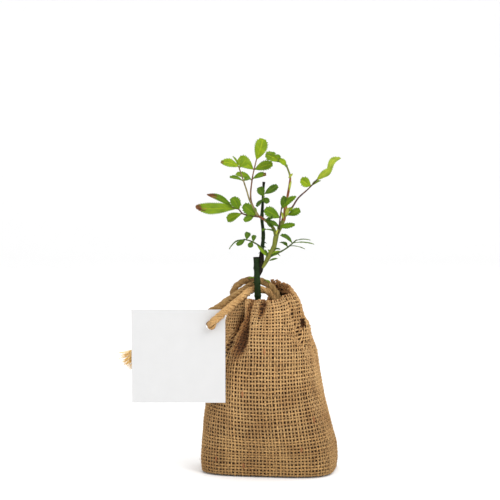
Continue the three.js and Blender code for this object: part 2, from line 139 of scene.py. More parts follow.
# ---------------------------------------------------------------- limbs, cord and leaves, in millimetres

# path, radii spread evenly along it
LIMBS = {
    "main_stem": (
        [(-7.8, 0, 88.3), (-7.8, 0, 112), (-8.1, 0, 130), (-9.2, 0, 160.2)],
        [4.2, 2.8, 2.5, 2.4, 2.35, 2.3],
    ),
    "upright_cane": (
        [(-6.4, 0.9, 150.5), (-5.2, 1.5, 163.2), (-4, 1.5, 176.8), (-5, 2, 188.5),
         (-4.5, 2, 199.5), (-3.6, 2, 216.3)],
        [1.6, 2.2, 2.3, 1.6, 1.5, 1.45, 1.35, 1.3, 1.25, 1.15, 1, 0.85, 1.1],
    ),
    "new_shoot": (
        [(-4.2, -0.6, 152.9), (0.3, -3, 161.4), (3.7, -3.5, 167.1), (5.5, -3, 175.8)],
        [0.8, 1.3, 1.8, 1.9, 1.8, 1.9],
    ),
    "side_shoot": (
        [(5.1, -3, 176.9), (3.9, -3, 181.2), (-1.4, -2.8, 187.1), (-8.4, -5.6, 191.4)],
        [1.3, 1.2, 1, 0.95],
    ),
    "shoot_top": (
        [(6.3, -2.8, 177.2), (11, -1, 187.9), (13, 1, 199.6), (15.7, 3, 214.3),
         (16.1, 4, 220.2), (13.4, 3.6, 228.2)],
        [1.5, 1.5, 1.2, 0.9, 0.7, 0.6],
    ),
}

# Where a limb grows out of the one before it, ahead of its first point.
LIMB_ROOTS = {
    "upright_cane": [(-8, 0.3, 146.5)],
    "new_shoot": [(-6.2, 0.9, 151.8)],
    "side_shoot": [(5.5, -3, 174.2)],
    "shoot_top": [(5.5, -3, 174.2)],
}

# The barks in the order of their materials, and where they change along the limbs.
BARK_OLD, BARK_NEW, BARK_RED, BARK_DEAD = range(4)
STUB_DEAD_FROM = 159.2
CANE_ALIVE = (164, 213.6)
TOP_RED = (187, 219)
SIDE_RED_LEFT_OF = 1
PRICKLES = {"main_stem": 5, "upright_cane": 5}

CARD_FRONT = -31
EYELET = (-42.6, CARD_FRONT, 112)
CORDS = {
    "tie_loop": (
        [(-26, 6.2, 121), (-26.6, 6.5, 128), (-25.6, 7.5, 135.6), (-19.5, 9.5, 141), (-11.5, 11, 142.4),
         (-4, 10.6, 140.8), (1.4, 8.6, 137.8), (5.8, 6.4, 132), (8.6, 5, 124)],
        [2.7, 2.7],
    ),
    "tie_front_leg": (
        [(5.6, 5.4, 122), (4.4, 6, 128.6), (0.6, 6.4, 133), (-3.4, 6.6, 134.8), (-7.6, 6.2, 135.6),
         (-13, 2.6, 135.2), (-18, -6, 132), (-27.5, -22, 125.2),
         (-35, CARD_FRONT - 4.4, 119.6), (-40.4, CARD_FRONT - 7.2, 115),
         (-41.4, CARD_FRONT - 5.2, 112.8), (-42.2, CARD_FRONT + 5.5, 112.4)],
        [2.7, 2.8, 2.8, 2.8, 2.9, 3.1, 3.3],
    ),
    "tie_back_leg": (
        [(-8, 8.8, 140), (-13.5, 6, 138.6), (-19, 1.6, 135.2), (-28, -9, 129.8), (-40, -22.5, 122.4),
         (-94, -26, 93.2)],
        [2.3, 3, 2.6, 2.4],
    ),
}

# For each leaf: its stalk's skin and points, then its leaflets: place along the stalk, reach, width, turn
# and colour, and its arch where that isn't the usual one.
ARCH = 0.07
LEAVES = {
    "leaf_top": ("red", [(-8.3, -5.2, 191.6), (-13.2, 3, 202.9), (-12.2, 9, 218.8), (-9.3, 13, 232.2)], [
        (0.68, (10.2, -4, 3.4), 6.6, 50, "mid"),
        (0.66, (-12.2, 5, 4.6), 6.4, 50, "fresh"),
        (0.85, (13.8, -4, 4.6), 7.2, 8, "fresh"),
        (0.84, (-11.8, 5, 8.8), 9.2, 5, "bright"),
        (1, (5, 2, 16.4), 9.8, 5, "bright", 0.05),
    ]),
    "leaf_upper_left": ("tan", [(-7.9, -6.2, 191.2), (-13.8, -9.4, 202.3), (-16.3, -11.4, 210.4),
        (-21.9, -15, 227.4)], [
        (0.72, (-9.8, -4, 3.2), 4.6, 50, "mid"),
        (0.72, (4.4, 4.5, 2.6), 4.2, 40, "mid"),
        (0.99, (-13, -3, 3.8), 6.6, 20, "bright"),
        (0.97, (5.6, 4, 7.6), 6.6, 10, "fresh"),
        (0.99, (-4.6, 5, 8), 1.8, 82, "fresh"),
    ]),
    "leaf_left": ("purple", [(-8, -5.6, 190.8), (-13.4, -8, 191.4), (-19.2, -10, 192.9),
        (-22.4, -11.5, 196.4), (-27, -13, 197.6)], [
        (0.02, (-10.6, -3.4, 8.6), 8, 12, "mid"),
        (0.12, (-7.6, -5, -3.8), 5, 25, "mid"),
        (0.55, (-11.4, 4.5, -5), 6.6, 15, "fresh"),
        (0.76, (-5, -5.5, 9), 7.8, 10, "mid"),
        (0.96, (-20, 8, 10), 5, 25, "mid"),
        (0.8, (-31.2, -8, 1.6), 9, 25, "fresh"),
    ]),
    "leaf_lower_left": ("deep", [(-0.2, -3.2, 160), (-5, -6.4, 167.3), (-12, -8, 172), (-18.1, -11, 174)], [
        (0.68, (1, 3.4, 5.2), 3.6, 10, "deep"),
        (0.72, (-1.8, -3.6, -4.2), 4.2, 20, "deep"),
        (0.93, (1.4, 3, 5.6), 4.6, 10, "deep"),
        (0.97, (-6.4, -3.6, -4), 3.8, 20, "deep"),
        (1, (-11.6, 4, -7), 4.6, 76, "shade", 0.11),
    ]),
    "leaf_lower_right": ("deep", [(0.8, -3.2, 160.9), (7.5, -6.4, 163.8), (13.5, -8.6, 167.4),
        (20.5, -12, 173.4)], [
        (0.66, (-5.8, 4.4, 3.4), 4.4, 74, "deep", 0.12),
        (0.74, (11.4, 7, -2.6), 2.8, 84, "shade", 0.05),
        (0.84, (-8.8, 2, 6.4), 5.4, 66, "deep", 0.12),
        (0.88, (15, -7, -0.2), 2.8, 84, "mid", 0.03),
        (1, (10.6, 5, 0.6), 2.6, 84, "shade", 0.03),
    ]),
    "leaf_right": ("purple", [(12.7, 0.4, 192.4), (17.8, 3, 197.6), (22, 7, 203.8),
        (30.5, 14, 211.4), (37.3, 18, 218.6)], [
        (0.78, (-7.8, -4, 5), 7.8, 18, "bright"),
        (0.78, (7, 6, 4.4), 4.6, 76, "fresh"),
        (0.96, (9.6, -5, 8.4), 5.2, 25, "pale"),
        (1, (17.4, 5, 16), 5.6, 30, "pale", 0.05),
    ]),
    "leaf_middle": ("purple", [(6.7, -3.4, 178.4), (7.9, -6.6, 183.5), (8.6, -7.4, 190.2),
        (9.6, -8, 197.1)], [
        (0.3, (-6.8, -4, 3.6), 4, 30, "deep"),
        (0.28, (11.6, -5, 1.8), 4.6, 20, "mid"),
        (0.64, (-11.4, -4, 6.6), 8, 12, "mid"),
        (1, (2.4, -4, 9), 4.4, 20, "deep"),
        (0.97, (11, -7, 9.6), 5, 25, "mid", 0.1),
    ]),
    "leaf_cane": ("green", [(-4.4, 1.4, 202.6), (-3.8, -2, 204.8), (-3.4, -3, 207.2)], [
        (0.5, (3.6, -3, -4), 4.8, 10, "deep"),
        (0.3, (-4.8, -3.4, -5.4), 3.2, 30, "shade"),
        (0.7, (-3.4, -2, 7), 6, 15, "deep"),
        (1, (9.8, -4, 6.4), 5.4, 15, "deep"),
    ]),
    "leaf_inner": ("green", [(-2.4, -3.4, 187.9), (-2.4, -6.8, 188.4), (-2, -8.4, 188.3)], [
        (0.8, (5.4, -1.6, -4.8), 5, 12, "deep"),
        (1, (5, -4, 1.6), 3.6, 40, "shade"),
    ]),
    "leaf_fork": ("green", [(3.8, -3.4, 180.2), (0.8, -6.4, 181), (-1, -7.2, 181.2)], [
        (1, (-4, -1, -0.8), 3.2, 60, "deep", 0.12),
    ]),
    "furled_tip": ("green", [(13.6, 3.6, 227.9), (8.3, 2, 232.4), (2.6, 0, 236.2), (-1.4, -1, 237.4)], [
        (0.02, (-5.4, -3, 5), 4.4, 20, "bright"),
        (0.2, (-7.4, 3, 4.6), 6, 18, "bright"),
        (0.36, (-8.4, -3, 3.4), 6.4, 18, "bright"),
        (0.52, (-8.6, -2, 2.8), 6.8, 10, "fresh"),
        (0.6, (-7.2, 3, -0.6), 5, 30, "bright"),
    ]),
}

# Small blades on the shoots: foot, reach, width, turn, colour. The broad ones are toothed.
BROAD_BRACT = 4
BRACTS = [
    ((14.6, 1.6, 219), (3.4, -1, 3.4), 1.8, 20, "lime"),
    ((15.6, 2, 209), (1.4, -1.6, 8), 1.6, 15, "lime"),
    ((12.2, -1.6, 189.6), (2.4, -2, 7.6), 2.8, 10, "lime"),
    ((11, -2.4, 188.4), (-1.4, -1.6, 6), 1.8, 30, "lime"),
    ((0.4, -3.6, 157.6), (6.4, -2.4, 1.8), 1.8, 30, "deep"),
    ((3.2, -4.4, 165.6), (5.4, -1.8, 0.8), 2.4, 66, "shade"),
    ((2.8, -4.6, 164.6), (6, -1.6, -3.4), 0.9, 40, "deep"),
    ((2, -3, 163), (-2.4, -2, 3), 1.8, 20, "fresh"),
    ((-20, -9, 198.6), (-3.6, -1.6, 4.4), 2.2, 20, "fresh"),
    ((-22.4, -14.6, 229.6), (-3.2, -1, 5), 1, 20, "fresh"),
    ((-22.6, -14.8, 229), (-4.6, 0.8, 3), 0.9, 20, "lime"),
    ((5.6, -4.6, 176.8), (1.6, -1.6, 4.6), 1.6, 20, "lime"),
    ((13.8, 1.8, 191.2), (9.8, -1, 4.2), 5.8, 15, "mid"),
    ((1.4, -3.6, 161), (7.4, -2.4, 3.8), 3.2, 20, "bright"),
    ((-1, -4, 160.6), (-7.8, -3, 9), 2.2, 20, "fresh"),
    ((9.4, -0.6, 234.8), (-4, -1.4, 1.2), 2, 20, "mid"),
    ((5.6, -2.4, 237), (-3.4, -1, 1), 1.6, 30, "mid"),
    ((-16, 8.4, 143.5), (6.5, 0.6, 0.5), 1.6, 60, "fresh"),
    ((-3.6, 8.5, 142.6), (4.6, -1.8, -2.4), 1.6, 60, "fresh"),
]

# Leaf greens from light to dark. deep and shade are partly the darker green of older leaves and partly
# painted shade for leaflets that lie in shadow.
LEAF_COLOURS = {
    "bright": (0.2, 0.305, 0.009),
    "fresh": (0.143, 0.24, 0.007),
    "mid": (0.095, 0.185, 0.005),
    "deep": (0.058, 0.125, 0.007),
    "shade": (0.035, 0.085, 0.009),
    "lime": (0.32, 0.38, 0.05),
    "pale": (0.27, 0.355, 0.03),
    "dry": (0.1, 0.036, 0.014),
    "rust": (0.22, 0.1, 0.03),
}
DRY_TINT = list(LEAF_COLOURS).index("dry")
# Leaflets that bow sideways, have a dry tip or their own bluntness: how far, from where on, and how blunt.
HABITS = {
    ("leaf_right", 3): (0.1, 2, 0.9),
    ("leaf_left", 5): (0.02, 0.86, 0.6),
    ("leaf_left", 4): (0, 0.7, 0),
    ("leaf_top", 0): (0, 0.9, None),
    ("leaf_upper_left", 2): (0, 0.93, 0.2),
}
PLAIN_HABIT = (0, 2, None)
UNDER_COLOUR = (0.13, 0.2, 0.05)
# The skins of the leaf stalks and of two barks: dark, middle and light.
STALK_SKINS = {
    "red": ((0.1, 0.04, 0.02), (0.19, 0.085, 0.04), (0.24, 0.2, 0.07)),
    "green": ((0.06, 0.11, 0.02), (0.13, 0.19, 0.035), (0.26, 0.28, 0.08)),
    "purple": ((0.03, 0.012, 0.01), (0.085, 0.035, 0.03), (0.16, 0.1, 0.05)),
    "tan": ((0.12, 0.1, 0.035), (0.22, 0.17, 0.07), (0.3, 0.28, 0.12)),
    "deep": ((0.025, 0.045, 0.012), (0.06, 0.09, 0.022), (0.12, 0.15, 0.04)),
}
RED_BARK_SKIN = ((0.12, 0.035, 0.012), (0.22, 0.07, 0.025), (0.3, 0.2, 0.05))
DEAD_BARK_SKIN = ((0.003, 0.003, 0.002), (0.01, 0.008, 0.005), (0.035, 0.026, 0.014))

# ---------------------------------------------------------------- settings


def length(name, description, default):
    """A setting in metres."""
    return FloatProperty(name=name, description=description, default=default, unit="LENGTH")


def colour(name, description, default):
    """A setting that is a colour."""
    return FloatVectorProperty(name=name, description=description, default=default, subtype="COLOR")


def amount(name, description, default):
    """A setting that is a count."""
    return IntProperty(name=name, description=description, default=default, min=0)


class BagSettings(bpy.types.PropertyGroup):
    """Sizes and colours of the woven bag."""
    pitch: length("Thread pitch", "Distance from one thread of the weave to the next", 0.0026)
    thread_width: length("Thread width", "Half the width of one thread", 0.00066)
    fuzz: amount("Loose fibres", "How many loose fibres stand out of the weave", 3200)
    colour: colour("Burlap colour", "Middle colour of the threads", (0.535, 0.328, 0.138))


class CordSettings(bpy.types.PropertyGroup):
    """Sizes and colours of the jute cord and its frayed end."""
    lay: length("Length of lay", "Length of cord in which a strand turns once round it", 0.015)
    colour: colour("Jute colour", "Middle colour of the cord", (0.53, 0.32, 0.125))


class PlantSettings(bpy.types.PropertyGroup):
    """Sizes and colours of the stems and leaves."""
    tooth: length("Tooth length", "Distance between two teeth on the edge of a leaflet", 0.0016)
    old_bark: colour("Old wood", "Colour of the old stems", (0.0085, 0.022, 0.003))
    new_bark: colour("New wood", "Colour of the young shoots near their foot", (0.17, 0.185, 0.03))


class StageSettings(bpy.types.PropertyGroup):
    """The floor and the light."""
    floor_colour: colour("Floor colour", "Colour of the plain floor", (0.94, 0.94, 0.94))
    sky: FloatProperty(
        name="Room light", description="Strength of the even light from all round", default=1.0, min=0,
    )


# ---------------------------------------------------------------- mesh tools


def unit(vectors):
    """Vectors scaled to a length of one."""
    length = np.linalg.norm(vectors, axis=-1, keepdims=True)
    return vectors / np.maximum(length, 1e-12)


def smooth(t):
    """Eases from 0 to 1."""
    t = np.clip(t, 0, 1)
    return t * t * (3 - 2 * t)


def bell(x):
    """Falls from 1 to 0 on both sides of 0."""
    return np.exp(-(x ** 2))


def round_angles(count):
    """Even directions all round."""
    return np.arange(count) * TAU / count


def stretched(values, count):
    """Values spread evenly over a count of places."""
    return np.interp(np.linspace(0, 1, count), np.linspace(0, 1, len(values)), values)


class Shape:
    """Gathers vertices and four-sided faces, with a material number and a surface place for each."""

    def __init__(self):
        self.verts = []
        self.quads = []
        self.tints = []
        self.places = []
        self.count = 0

    def add(self, verts, quads, tint=0, places=None):
        """Adds a part of the mesh. places are (u, v) pairs for each vertex."""
        verts = np.asarray(verts, dtype=np.float32).reshape(-1, 3)
        self.verts.append(verts)
        self.quads.append(np.asarray(quads) + self.count)
        self.tints.append(np.full(len(quads), tint, dtype=np.int32))
        if places is None:
            places = np.zeros((len(verts), 2), dtype=np.float32)
        self.places.append(np.asarray(places, dtype=np.float32).reshape(-1, 2))
        self.count += len(verts)

    def build(self, name, materials, slot, replaced, flat=False):
        """Makes the object, puts it under the root body and hides the parts of the model that it replaces.
        """
        verts = np.concatenate(self.verts)
        quads = np.concatenate(self.quads)
        tints = np.concatenate(self.tints)
        places = np.concatenate(self.places)
        mesh = bpy.data.meshes.new(name)
        mesh.vertices.add(len(verts))
        mesh.vertices.foreach_set("co", verts.ravel())
        mesh.loops.add(quads.size)
        mesh.loops.foreach_set("vertex_index", quads.ravel().astype(np.int32))
        mesh.polygons.add(len(quads))
        mesh.polygons.foreach_set("loop_start", np.arange(0, quads.size, 4, dtype=np.int32))
        mesh.polygons.foreach_set("loop_total", np.full(len(quads), 4, dtype=np.int32))
        mesh.polygons.foreach_set("material_index", tints)
        mesh.polygons.foreach_set("use_smooth", np.full(len(quads), not flat))
        uv = mesh.uv_layers.new(name="UVMap")
        uv.data.foreach_set("uv", places[quads.ravel()].ravel())
        mesh.update()
        mesh.validate()
        for material in materials:
            mesh.materials.append(material)
        piece = bpy.data.objects.new(name, mesh)
        bpy.context.scene.collection.objects.link(piece)
        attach(piece, "root")
        if replaced:
            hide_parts(*replaced)
        return piece


def grid_quads(rows, columns, wrap=False):
    """Faces of a grid of vertices, closed round its columns if wrap is set."""
    across = columns if wrap else columns - 1
    row, column = np.meshgrid(np.arange(rows - 1), np.arange(across), indexing="ij")
    here = row * columns + column
    beside = row * columns + (column + 1) % columns
    return np.stack([here, here + columns, beside + columns, beside], axis=-1).reshape(-1, 4)


def transported(tangents):
    """Directions square to each path that turn as little as they can along it."""
    start = np.where(np.abs(tangents[:, 0, 2:3]) < 0.9, [[0.0, 0.0, 1.0]], [[1.0, 0.0, 0.0]])
    side = [unit(start - tangents[:, 0] * np.sum(start * tangents[:, 0], axis=-1, keepdims=True))]
    for k in range(1, tangents.shape[1]):
        last = side[-1]
        side.append(unit(last - tangents[:, k] * np.sum(last * tangents[:, k], axis=-1, keepdims=True)))
    return np.stack(side, axis=1)


def frame_along(path):
    """The direction of one path at each point, and two directions square to it."""
    tangents = unit(np.gradient(path[None], axis=1))
    side = transported(tangents)[0]
    return tangents[0], side, np.cross(tangents[0], side)


def sweep(shape, paths, wide, thick=None, sides=6, normals=None, tint=0):
    """Adds closed tubes along many paths of equal count. wide and thick are half sizes at each point."""
    paths = np.asarray(paths, dtype=float)
    if paths.ndim == 2:
        paths = paths[None]
    count, steps, _ = paths.shape
    wide = np.broadcast_to(wide, (count, steps))
    thick = wide if thick is None else np.broadcast_to(thick, (count, steps))
    tangents = unit(np.gradient(paths, axis=1))
    if normals is None:
        normals = transported(tangents)
    across = unit(np.cross(tangents, normals))
    normals = np.cross(across, tangents)
    angle = round_angles(sides)
    ring = (
        across[:, :, None] * (wide[:, :, None] * np.cos(angle))[..., None]
        + normals[:, :, None] * (thick[:, :, None] * np.sin(angle))[..., None]
    )
    ends = [ring[:, :1] * 0.02, ring, ring[:, -1:] * 0.02]
    ring = np.concatenate(ends, axis=1)
    middle = np.concatenate([paths[:, :1], paths, paths[:, -1:]], axis=1)
    verts = middle[:, :, None] + ring
    steps += 2
    quads = grid_quads(steps, sides, wrap=True)
    quads = (quads[None] + (np.arange(count) * steps * sides)[:, None, None]).reshape(-1, 4)
    along = np.concatenate([[0], np.linspace(0, 1, steps - 2), [1]])
    places = np.stack(np.broadcast_arrays(
        (np.arange(sides) / sides)[None, None], along[None, :, None], np.zeros((count, 1, 1)),
    )[:2], axis=-1)
    if np.ndim(tint) == 2:
        tint = np.repeat(np.pad(tint[:, :-1], ((0, 0), (1, 1)), mode="edge"), sides)
    elif np.ndim(tint):
        tint = np.repeat(tint, (steps - 1) * sides)
    shape.add(verts, quads, tint, places)


def curve_through(points, count, loose=0.5):
    """Points at even distances on a centripetal Catmull-Rom curve through guide points."""
    p = np.asarray(points, dtype=float)
    p = np.concatenate([[2 * p[0] - p[1]], p, [2 * p[-1] - p[-2]]])
    dense = []
    for i in range(1, len(p) - 2):
        p0, p1, p2, p3 = p[i - 1:i + 3]
        t0 = np.linalg.norm(p1 - p0) ** loose
        t1 = np.linalg.norm(p2 - p1) ** loose
        t2 = np.linalg.norm(p3 - p2) ** loose
        m1 = ((p1 - p0) / t0 - (p2 - p0) / (t0 + t1) + (p2 - p1) / t1) * t1
        m2 = ((p2 - p1) / t1 - (p3 - p1) / (t1 + t2) + (p3 - p2) / t2) * t1
        t = np.linspace(0, 1, 60, endpoint=False)[:, None]
        dense.append(
            (2 * t**3 - 3 * t**2 + 1) * p1 + (t**3 - 2 * t**2 + t) * m1
            + (3 * t**2 - 2 * t**3) * p2 + (t**3 - t**2) * m2
        )
    dense.append(p[-2:-1])
    dense = np.concatenate(dense)
    run = np.concatenate([[0], np.cumsum(np.linalg.norm(np.diff(dense, axis=0), axis=1))])
    at = np.linspace(0, run[-1], count)
    return np.stack([np.interp(at, run, dense[:, axis]) for axis in range(3)], axis=-1)


def length_of(points):
    """The length of a path."""
    return float(np.sum(np.linalg.norm(np.diff(points, axis=0), axis=1)))


def wander(random, count, knots, size):
    """A smooth random line: count values of about the given size."""
    values = random.normal(0, size, knots)
    return np.interp(np.linspace(0, knots - 1, count), np.arange(knots), values)


def wanders(random, lines, count, knots, size):
    """Several smooth random lines."""
    return np.stack([wander(random, count, knots, size) for _ in range(lines)])


def add_hairs(shape, random, feet, ways, lengths, width, curl=0.5, tint=0):
    """Adds thin loose fibres that start at feet and bend away at random."""
    steps = 6
    count = len(feet)
    bend = unit(random.normal(0, 1, (count, 3))) * curl
    t = np.linspace(0, 1, steps)[None, :, None]
    paths = feet[:, None] + lengths[:, None, None] * (ways[:, None] * t + bend[:, None] * t * t * 0.6)
    paths[..., 2] = np.maximum(paths[..., 2], FLOOR_CLEAR)
    taper = np.linspace(1, 0.35, steps)[None] * width[:, None]
    sweep(shape, paths, taper, sides=3, tint=tint)


# ---------------------------------------------------------------- materials


class Nodes:
    """A short way to write a node material."""

    def __init__(self, name):
        self.material = bpy.data.materials.new(name)
        self.material.use_nodes = True
        self.tree = self.material.node_tree
        self.shader = self.tree.nodes["Principled BSDF"]

    def put(self, kind, inputs=None, **settings):
        """Adds a node, sets it up and links or sets its inputs."""
        node = self.tree.nodes.new(kind)
        for key, value in settings.items():
            setattr(node, key, value)
        for key, value in (inputs or {}).items():
            self.plug(node.inputs[key], value)
        return node

    def plug(self, socket, value):
        """Links a socket, or sets its value."""
        if isinstance(value, bpy.types.NodeSocket):
            self.tree.links.new(value, socket)
        else:
            socket.default_value = value

    def place(self, kind="Object"):
        """Where a point lies on the piece."""
        return self.put("ShaderNodeTexCoord").outputs[kind]

    def span(self, value, low, high):
        """How far a value has come from low to high."""
        inputs = {"Value": value, "From Min": low, "From Max": high}
        return self.put("ShaderNodeMapRange", inputs).outputs[0]

    def noise(self, scale, detail=4, stretch=None):
        """The height of a noise pattern fixed to the piece."""
        vector = self.place()
        if stretch:
            vector = self.put("ShaderNodeMapping", {"Vector": vector, "Scale": stretch}).outputs[0]
        node = self.put("ShaderNodeTexNoise", {"Vector": vector, "Scale": scale, "Detail": detail})
        return node.outputs["Fac"]

    def ramp(self, value, stops):
        """Colours laid along a value."""
        node = self.put("ShaderNodeValToRGB", {"Fac": value})
        elements = node.color_ramp.elements
        while len(elements) < len(stops):
            elements.new(0.5)
        for element, (place, colour) in zip(elements, stops):
            element.position = place
            element.color = (*colour, 1)
        return node.outputs["Color"]

    def blend(self, share, a, b, kind="MIX"):
        """One colour over another."""
        node = self.put("ShaderNodeMix", data_type="RGBA", blend_type=kind)
        self.plug(node.inputs["Factor"], share)
        self.plug(node.inputs["A"], a)
        self.plug(node.inputs["B"], b)
        return node.outputs["Result"]

    def math(self, kind, a, b=0.0):
        """A sum on one or two values."""
        node = self.put("ShaderNodeMath", operation=kind)
        self.plug(node.inputs[0], a)
        self.plug(node.inputs[1], b)
        return node.outputs[0]

    def bump(self, height, strength, distance=0.001):
        """Gives the surface a fine relief."""
        node = self.put("ShaderNodeBump", {"Height": height, "Strength": strength, "Distance": distance})
        self.tree.links.new(node.outputs[0], self.shader.inputs["Normal"])

    def finish(self, colour, roughness, **values):
        """Sets the shader and gives the material back."""
        self.plug(self.shader.inputs["Base Color"], colour)
        self.plug(self.shader.inputs["Roughness"], roughness)
        for key, value in values.items():
            self.plug(self.shader.inputs[key.replace("_", " ")], value)
        return self.material


def shade(colour, factor):
    """A colour made lighter or darker."""
    return tuple(min(1.0, channel * factor) for channel in colour)


def fibre_material(name, colour, spread=0.3, low=1.0):
    """Dry plant fibre: fine streaks of lighter and darker straw, browner near the floor."""
    nodes = Nodes(name)
    fine = nodes.noise(900, 5)
    broad = nodes.noise(60, 3)
    streak = nodes.ramp(fine, [
        (0.3, shade(colour, 1 - spread)),
        (0.5, colour),
        (0.72, shade(colour, 1 + spread)),
    ])
    patches = nodes.ramp(broad, [(0.35, (0.8, 0.74, 0.68)), (0.6, (1.0, 1.0, 1.0))])
    tinted = nodes.blend(1.0, streak, patches, "MULTIPLY")
    height = nodes.put("ShaderNodeSeparateXYZ", {0: nodes.place()}).outputs[2]
    rise = nodes.span(height, 0.0, 0.11)
    foot = nodes.ramp(rise, [(0.0, (low, low * 0.95, low * 0.82)), (1.0, (1.0, 1.0, 1.0))])
    nodes.bump(nodes.noise(1500, 3), 0.4, 0.0004)
    return nodes.finish(nodes.blend(1.0, tinted, foot, "MULTIPLY"), 0.92)


def leaf_material(name, colour, under=False):
    """A leaf blade: mottled green, with a paler rib and side veins laid by the blade's own surface."""
    nodes = Nodes(name)
    mottle = nodes.noise(220, 4)
    green = nodes.ramp(mottle, [
        (0.3, shade(colour, 0.72)),
        (0.52, colour),
        (0.75, (colour[0] * 1.3, colour[1] * 1.15, colour[2])),
    ])
    place = nodes.put("ShaderNodeSeparateXYZ", {0: nodes.place("UV")})
    off = nodes.math("ABSOLUTE", nodes.math("SUBTRACT", place.outputs[0], 0.5))
    rib = nodes.span(off, 0.025, 0.07)
    slant = nodes.math("SUBTRACT", place.outputs[1], nodes.math("MULTIPLY", off, 0.55))
    wave = nodes.math("ABSOLUTE", nodes.math("SINE", nodes.math("MULTIPLY", slant, 26.0)))
    both = nodes.math("MINIMUM", rib, nodes.math("ADD", nodes.span(wave, 0.02, 0.22), 0.35))
    pale = (colour[0] * 1.5 + 0.02, colour[1] * 1.25 + 0.02, colour[2] * 1.4, 1)
    colours = nodes.blend(both, pale, green)
    nodes.bump(nodes.math("ADD", nodes.math("MULTIPLY", both, 0.6), mottle), 0.35, 0.0005)
    return nodes.finish(colours, 0.65 if under else 0.5, Specular_IOR_Level=0.12)


def bark_material(name, low, high, streak, roughness=0.55):
    """Stem skin: streaks along the limb and small pale pores."""
    nodes = Nodes(name)
    along = nodes.noise(420, 4, stretch=(1, 1, 0.18))
    body = nodes.ramp(along, [(0.3, low), (0.55, high), (0.78, streak)])
    pores = nodes.put("ShaderNodeTexVoronoi", {"Vector": nodes.place(), "Scale": 520.0})
    dots = nodes.span(pores.outputs["Distance"], 0.08, 0.2)
    nodes.bump(nodes.math("ADD", along, nodes.math("MULTIPLY", dots, 0.4)), 0.5, 0.0006)
    colours = nodes.blend(dots, (*streak, 1), body)
    return nodes.finish(colours, roughness, Specular_IOR_Level=0.13)


def soil_material(name, dark, light):
    """Moist compost: near-black crumbs with lighter bits of fibre."""
    nodes = Nodes(name)
    colour = nodes.ramp(nodes.noise(700, 6), [(0.35, dark), (0.6, light), (0.8, shade(light, 1.8))])
    nodes.bump(nodes.noise(500, 6), 0.8, 0.001)
    return nodes.finish(colour, 0.95)


def card_material(name):
    """Uncoated board: an even off-white with the faint cloud and tooth of paper."""
    nodes = Nodes(name)
    cloud = nodes.ramp(nodes.noise(90, 6), [(0.3, (0.588, 0.588, 0.588)), (0.7, (0.603, 0.603, 0.603))])
    nodes.bump(nodes.noise(2600, 5), 0.12, 0.0002)
    return nodes.finish(cloud, 0.8)


# ---------------------------------------------------------------- the bag's surface

ROWS_BELOW = 40
ROWS_RIM = 11
ROWS = ROWS_BELOW + ROWS_RIM
HEM_ROWS = 3
ALL_ROWS = ROWS + HEM_ROWS
SUB_ROWS = 4
RIM_ROWS_FROM = 104
FRONT_ANGLE = math.radians(-81)
SLOT_START = 50
SLOT_FULL = 104
SLOT_DEPTH = 1.25
HEM_GAP = 2
TIGHT_SHARE = 0.5
SHADE_BACKING_TOP = ROWS - 0.4
SHADE_BACKING_COLUMNS = 660
SHADE_BACKING_BEHIND = 1.1
WRINKLES = 26
# Half sizes of the flat weave under the bag.
BASE_SIZE = (46.4, 32)


def outline_at(z):
    """Half width, half depth, shift and squareness at a height."""
    return [np.interp(z, BAG_OUTLINE[:, 0], BAG_OUTLINE[:, column]) for column in range(1, 5)]


def smooth_radius(z, angle):
    """Distance from the middle to the smooth outline."""
    half_width, half_depth, _, corner = outline_at(z)
    x = np.abs(np.cos(angle)) / half_width
    y = np.abs(np.sin(angle)) / half_depth
    return (x**corner + y**corner) ** (-1 / corner)


def pleat_depth(z):
    """How deep the pleats fold in: the slack of the cloth shared among their flanks."""
    levels = np.linspace(0, 145, 80)
    angle = np.arange(73) * TAU / 72
    r = smooth_radius(levels[:, None], angle[None])
    ring = np.stack([r * np.cos(angle), r * np.sin(angle)], axis=-1)
    girth = np.sum(np.linalg.norm(np.diff(ring, axis=1), axis=-1), axis=1)
    slack = np.maximum(0, BAG_GIRTH - np.interp(z, levels, girth))
    started = smooth((z - PLEAT_START) / (PLEAT_FULL - PLEAT_START))
    return slack / (2 * PLEATS) * (0.25 + 0.75 * started) * smooth(z / PLEAT_START)


def pleat_in(z, degrees, depth, width=PLEAT_WIDTH * 360 / PLEATS, shares=None):
    """How far the pleats draw the wall in. shares weighs each pleat."""
    total = 0
    for i in range(PLEATS):
        centre = FIRST_PLEAT + 360 / PLEATS * i + PLEAT_SHIFTS.get(i, 0)
        lean = PLEAT_LEAN * (PLEAT_FULL - z) * (0.4 if i % 2 else -1)
        off = (degrees - centre - lean + 540) % 360 - 180
        weight = shares.get(i, 1) if shares else 1
        total = total + weight * depth * bell(off / width)
    return total


def rim_share(degrees, span):
    """Eases from 0 to 1 over a span of directions, and back to 0 where the standing edge falls."""
    turned = (degrees + 540) % 360 - 180
    fall = (turned - RIM_FALL_SPAN[0]) / (RIM_FALL_SPAN[1] - RIM_FALL_SPAN[0])
    return smooth((turned - span[0]) / (span[1] - span[0])) * (1 - smooth(fall))


def rim_top(degrees):
    """The height of the bag's edge in a direction."""
    share = rim_share(degrees, RIM_RISE_SPAN)
    drop = RIM_DROP + RIM_BACK_DROP * np.maximum(0, np.sin(np.radians(degrees)))
    return RIM_FRONT + RIM_RISE * share - drop * (1 - share)


